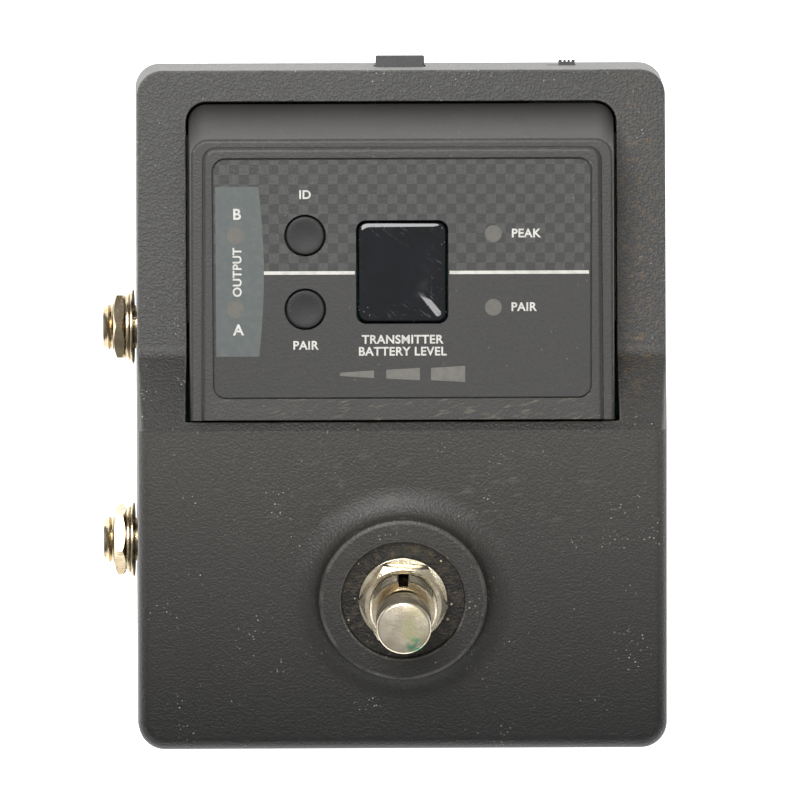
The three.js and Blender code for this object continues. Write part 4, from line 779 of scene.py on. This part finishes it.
def hex_nut(flats, hole, bottom, top, turn=0.0, chamfer=0.12):
    """A nut with a round hole, and its corners turned off to a cone at both ends."""
    bm = bmesh.new()
    rings = []
    for count, radius in ((6, flats / math.sqrt(3)), (48, hole)):
        points = circle((0, 0), radius, count)
        corners = [bm.verts.new((x * MM, y * MM, bottom * MM)) for x, y in points]
        rings += [bm.edges.new(pair) for pair in zip(corners, corners[1:] + corners[:1])]
    faces = bmesh.ops.triangle_fill(bm, use_beauty=True, use_dissolve=False, edges=rings)["geom"]
    faces = [f for f in faces if isinstance(f, bmesh.types.BMFace)]
    lifted = bmesh.ops.extrude_face_region(bm, geom=faces)["geom"]
    raised = [v for v in lifted if isinstance(v, bmesh.types.BMVert)]
    bmesh.ops.translate(bm, verts=raised, vec=(0, 0, (top - bottom) * MM))
    bmesh.ops.dissolve_limit(bm, angle_limit=math.radians(1), verts=bm.verts, edges=bm.edges)
    lean = math.radians(30)
    for end, way in ((bottom, -1), (top, 1)):
        for i in range(48):
            t = FULL_TURN * i / 48
            out = Vector((math.cos(t) * math.sin(lean), math.sin(t) * math.sin(lean), way * math.cos(lean)))
            reach = flats / 2 - chamfer
            at = Vector((math.cos(t) * reach * MM, math.sin(t) * reach * MM, end * MM))
            cut = bmesh.ops.bisect_plane(bm, geom=list(bm.verts) + list(bm.edges) + list(bm.faces),
                                         dist=1e-8, plane_co=at, plane_no=out, clear_outer=True)
            rim = [e for e in cut["geom_cut"] if isinstance(e, bmesh.types.BMEdge) and e.is_boundary]
            if rim:
                bmesh.ops.edgenet_fill(bm, edges=rim)
    bmesh.ops.remove_doubles(bm, verts=bm.verts, dist=0.003 * MM)
    bmesh.ops.recalc_face_normals(bm, faces=bm.faces)
    bm.transform(Matrix.Rotation(turn, 4, "Z"))
    return bm


def ring_plate(inner, outer, bottom, top, edge=0.12, steps=72):
    """A washer with softened edges."""
    outline = [(inner, bottom), *arc((outer - edge, bottom + edge), edge, -90, 0, 3),
               *arc((outer - edge, top - edge), edge, 0, 90, 3), (inner, top)]
    return lathe(outline, steps)


BUSHING_RADIUS = 6.0
BUSHING_BORE = 3.95
PLUNGER_RADIUS = 4.93
NECK_RADIUS = 3.7
CAP_ABOVE_BUSHING = 3.4
SWITCH_WASHER = 8.0
SWITCH_FLATS = 14.0
SWITCH_NUT_TURN = math.radians(-4)
KEYWAY = (0.95, 4.5)           # half its width, and its floor's distance from the axis


def switch_parts():
    up, down = SLOPE_UP, -SLOPE_UP
    washer = (level("foot_switch_washer", down), level("foot_switch_washer", up))
    nut = (level("foot_switch_nut", down), level("foot_switch_nut", up))
    collar = (level("foot_switch_bushing", down), level("foot_switch_bushing", up))
    finished("switch_washer", ring_plate(BUSHING_RADIUS + 0.2, SWITCH_WASHER, *washer), OLD_NICKEL,
             ["foot_switch_washer"], place=SWITCH, sharp=50)
    hexagon = hex_nut(SWITCH_FLATS, BUSHING_RADIUS + 0.12, *nut, turn=SWITCH_NUT_TURN)
    finished("switch_nut", hexagon, OLD_NICKEL, ["foot_switch_nut"], place=SWITCH, sharp=25)
    bore = BUSHING_BORE
    outline = [(bore, collar[0]), (BUSHING_RADIUS, collar[0])]
    outline += thread(BUSHING_RADIUS, nut[1] - 1.0, collar[1] - 0.5, 0.75, 0.32)
    outline += [(BUSHING_RADIUS - 0.35, collar[1]), (bore + 0.15, collar[1]), (bore, collar[1] - 0.15)]
    bm = lathe(outline, 144)
    for v in bm.verts:
        if abs(v.co.x) < KEYWAY[0] * MM and v.co.y > KEYWAY[1] * MM and v.co.z > nut[0] * MM:
            v.co.y = KEYWAY[1] * MM
    finished("switch_bushing", bm, OLD_NICKEL, ["foot_switch_bushing"], place=SWITCH, sharp=28)
    foot = level("foot_switch_plunger", down)
    edge = 0.7
    under = collar[1] + CAP_ABOVE_BUSHING
    outline = [(0, foot), (NECK_RADIUS, foot), (NECK_RADIUS, under), (PLUNGER_RADIUS - 0.2, under),
               (PLUNGER_RADIUS, under + 0.2)]
    outline += arc((PLUNGER_RADIUS - edge, -edge - 0.06), edge, 0, 80, 6)
    outline += [(2.5, -0.02), (0, 0)]
    finished("switch_plunger", lathe(outline, 96), CAP_NICKEL, ["foot_switch_plunger"], body="foot_plunger",
             place=SWITCH, sharp=40)


switch_parts()


# --------------------------------------------------------------------------- jacks
JACK_RADIUS, JACK_BORE, JACK_FLANGE = 4.35, 3.25, 5.6
JACK_FLATS = 11.6
JACK_WASHERS = ((1, 6.9), (2, 6.2))
JACK_TURNS = (("output_b", 30), ("output_a", 12))    # how each nut was left, in degrees


def jack_parts():
    for name, turn in JACK_TURNS:
        low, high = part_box(f"{name}_bushing")
        centre = (low + high) / 2
        place = placed((low.x, centre.y, centre.z), (-1, 0, 0), side=(0, 1, 0))
        reach = {node: [(low.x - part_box(f"{name}_{node}")[side].x) / MM for side in (1, 0)]
                 for node in ("washer_1", "washer_2", "nut")}
        back = (low.x - high.x) / MM
        shoulder = (low.x - ENCLOSURE_LOW.x) / MM - 3.0
        radius, bore = JACK_RADIUS, JACK_BORE
        outline = [(bore, back), (JACK_FLANGE, back), (JACK_FLANGE, shoulder), (radius, shoulder)]
        outline += thread(radius, reach["washer_1"][0], -0.5, 0.79, 0.34)
        outline += [(radius - 0.5, 0), (bore + 0.3, 0), (bore, -0.3)]
        finished(f"{name}_collar", lathe(outline, 72), NICKEL, [f"{name}_bushing"], place=place, sharp=28)
        for index, size in JACK_WASHERS:
            node = f"{name}_washer_{index}"
            ring = ring_plate(radius + 0.15, size, *reach[f"washer_{index}"])
            finished(f"{name}_ring_{index}", ring, NICKEL, [node], place=place, sharp=50)
        nut = hex_nut(JACK_FLATS, radius + 0.1, *reach["nut"], turn=math.radians(turn))
        finished(f"{name}_hex_nut", nut, NICKEL, [f"{name}_nut"], place=place, sharp=25)


jack_parts()


# --------------------------------------------------------------- rear panel fittings
def rear_parts():
    bm = copy_of("dc_jack")
    soften(bm, 0.25)
    flat_weights(finished("power_socket", bm, NYLON, ["dc_jack"]))
    low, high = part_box("dc_jack_pin")
    radius = (high.x - low.x) / 2 / MM
    length = (high.y - low.y) / MM
    place = placed(((low.x + high.x) / 2, high.y, (low.z + high.z) / 2), (0, 1, 0))
    outline = [(0, -length), (radius, -length), *arc((radius - 0.3, -0.3), 0.3, 0, 90), (0, 0)]
    finished("power_pin", lathe(outline, 32), NICKEL, ["dc_jack_pin"], place=place, sharp=50)
    bm = copy_of("mode_switch_slider")
    soften(bm, 0.07)
    flat_weights(finished("mode_slider_knob", bm, NYLON, ["mode_switch_slider"], body="mode_slider"))


rear_parts()


# ------------------------------------------------------------------------- underside
def cross_screw(radius, head_radius, head_height, length):
    """A pan-head screw with a cross recess; its head is below height 0."""
    arm, reach, deep = 0.42, 1.5, 0.8
    cross = [(arm, arm), (reach, arm), (reach, -arm), (arm, -arm), (arm, -reach), (-arm, -reach),
             (-arm, -arm), (-reach, -arm), (-reach, arm), (-arm, arm), (-arm, reach), (arm, reach)]
    bm = bmesh.new()
    rings = []
    for points in (cross, circle((0, 0), head_radius - 0.45, 36)):
        corners = [bm.verts.new((x * MM, y * MM, -head_height * MM)) for x, y in points]
        rings.append([bm.edges.new(pair) for pair in zip(corners, corners[1:] + corners[:1])])
    bmesh.ops.triangle_fill(bm, use_beauty=True, use_dissolve=False, edges=rings[0] + rings[1])
    edges = rings[0]
    made = bmesh.ops.extrude_edge_only(bm, edges=edges)["geom"]
    floor = [v for v in made if isinstance(v, bmesh.types.BMVert)]
    bmesh.ops.scale(bm, verts=floor, vec=(0.7, 0.7, 1))
    bmesh.ops.translate(bm, verts=floor, vec=(0, 0, deep * MM))
    bottom = [e for e in made if isinstance(e, bmesh.types.BMEdge) and e.is_boundary]
    bmesh.ops.contextual_create(bm, geom=bottom)
    profile = arc((head_radius - 0.45, -head_height + 0.45), 0.45, -60, 0, 3)
    profile += [(head_radius, 0), (radius, 0)]
    profile += thread(radius, 0.4, length - 0.6, 0.6, 0.22) + [(0.4, length)]
    edges = rings[1]
    for ring_radius, height in profile:
        made = bmesh.ops.extrude_edge_only(bm, edges=edges)["geom"]
        edges = [e for e in made if isinstance(e, bmesh.types.BMEdge) and e.is_boundary]
        for v in (v for v in made if isinstance(v, bmesh.types.BMVert)):
            flat = Vector((v.co.x, v.co.y)).normalized() * ring_radius * MM
            v.co = (flat.x, flat.y, height * MM)
    bmesh.ops.contextual_create(bm, geom=edges)
    bmesh.ops.recalc_face_normals(bm, faces=bm.faces)
    return bm


def underside():
    bm = copy_of("base_plate")
    soften(bm, 0.25, wanted=lambda p: p.z < ENCLOSURE_LOW.z + 1.6 * MM)
    flat_weights(finished("bottom_plate", bm, BASE_PAINT, ["base_plate"]))
    for i in range(1, 5):
        low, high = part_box(f"base_screw_{i}")
        centre = (low + high) / 2
        place = Matrix.Translation((centre.x, centre.y, ENCLOSURE_LOW.z))
        head = (ENCLOSURE_LOW.z - low.z) / MM
        bm = cross_screw(1.5, (high.x - low.x) / 2 / MM, head, (high.z - ENCLOSURE_LOW.z) / MM)
        finished(f"bottom_screw_{i}", bm, ZINC, [f"base_screw_{i}"], place=place, sharp=35)
        low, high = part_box(f"rubber_foot_{i}")
        centre = (low + high) / 2
        radius = (high.x - low.x) / 2 / MM
        height = high.z / MM
        outline = [(0, 0.9), (1.8, 0.9), (2.2, 0.5), (2.5, 0.1), (2.8, 0)]
        outline += arc((radius - 0.6, 0.6), 0.6, -90, 0) + [(radius, height), (0, height)]
        finished(f"stick_on_foot_{i}", lathe(outline, 56), FOOT_RUBBER, [f"rubber_foot_{i}"],
                 place=Matrix.Translation((centre.x, centre.y, 0)), sharp=40)


underside()

for node, cad in frame["nodes"].items():
    cad.data.materials.clear()
    cad.data.materials.append(SLOT_MATERIALS[NODE_SLOTS[node]])


# ----------------------------------------------------------------- studio and camera
TABLE_GLOW = 1.0
UNDER_FEET = 0.05 * MM         # the table lies a hair below the feet


def studio():
    bm = bmesh.new()
    bmesh.ops.create_grid(bm, x_segments=2, y_segments=2, size=3.0)
    data = bpy.data.meshes.new("floor")
    bm.to_mesh(data)
    bm.free()
    floor = bpy.data.objects.new("floor", data)
    data.transform(Matrix.Translation((0, 0, -UNDER_FEET)))
    bpy.context.scene.collection.objects.link(floor)
    table = simple_surface("backlit_white_acrylic", "#f4f3f1", "#f7f6f5", 60.0, 0.9, 0.01)
    glow = next(n for n in table.node_tree.nodes if n.type == "BSDF_PRINCIPLED")
    glow.inputs["Emission Color"].default_value = linear("#ffffff")
    glow.inputs["Emission Strength"].default_value = TABLE_GLOW
    floor.data.materials.append(table)

    def lamp(name, at, size, watts, aim=(0, 0, 0.03)):
        light = bpy.data.lights.new(name, "AREA")
        light.shape = "RECTANGLE"
        light.size, light.size_y = size
        light.energy = watts
        made = bpy.data.objects.new(name, light)
        bpy.context.scene.collection.objects.link(made)
        made.location = at
        made.rotation_mode = "QUATERNION"
        made.rotation_quaternion = (Vector(aim) - Vector(at)).to_track_quat("-Z", "Y")
        made.visible_camera = False

    lamp("key", (-0.16, 0.36, 0.95), (0.55, 0.55), 12)
    lamp("glint", (0.112, -0.225, 0.75), (0.11, 0.13), 0.45)

    world = bpy.data.worlds.new("tent")
    bpy.context.scene.world = world
    world.use_nodes = True
    tree = world.node_tree
    tree.nodes.clear()
    # A dark room above a lit table, with soft white overhead.
    direction = add(tree, "TexCoord").outputs["Generated"]
    height = add(tree, "SeparateXYZ", {"Vector": direction}).outputs["Z"]
    overhead = add(tree, "MapRange", {
        "Value": height, "From Min": 0.15, "From Max": 0.95, "To Min": 0.1, "To Max": 0.57,
    }, interpolation_type="SMOOTHSTEP").outputs["Result"]
    backdrop = add(tree, "Background", {"Color": linear("#ffffff"), "Strength": overhead})
    add(tree, "OutputWorld", {"Surface": backdrop.outputs["Background"]})


def camera():
    """Down from a metre up and a little to the left, with a long lens, turned a hair to the body's lie."""
    height = 1.002
    left_of_body = 8 * MM
    behind_middle = 0.65 * MM
    roll = math.radians(-0.22)
    pixels_per_metre_at_one_metre = 5270
    made = bpy.data.cameras.new("camera")
    made.sensor_width = 36         # mm, a full frame
    made.lens = pixels_per_metre_at_one_metre / PIXELS * made.sensor_width
    made.clip_start, made.clip_end = 0.05, 20
    holder = bpy.data.objects.new("camera", made)
    bpy.context.scene.collection.objects.link(holder)
    holder.location = (BODY_X - left_of_body, behind_middle, height)
    holder.rotation_euler = (0, -math.atan(left_of_body / height), roll)
    bpy.context.scene.camera = holder


studio()
camera()
bpy.context.scene.view_settings.view_transform = "Standard"
bpy.context.scene.view_settings.look = "None"
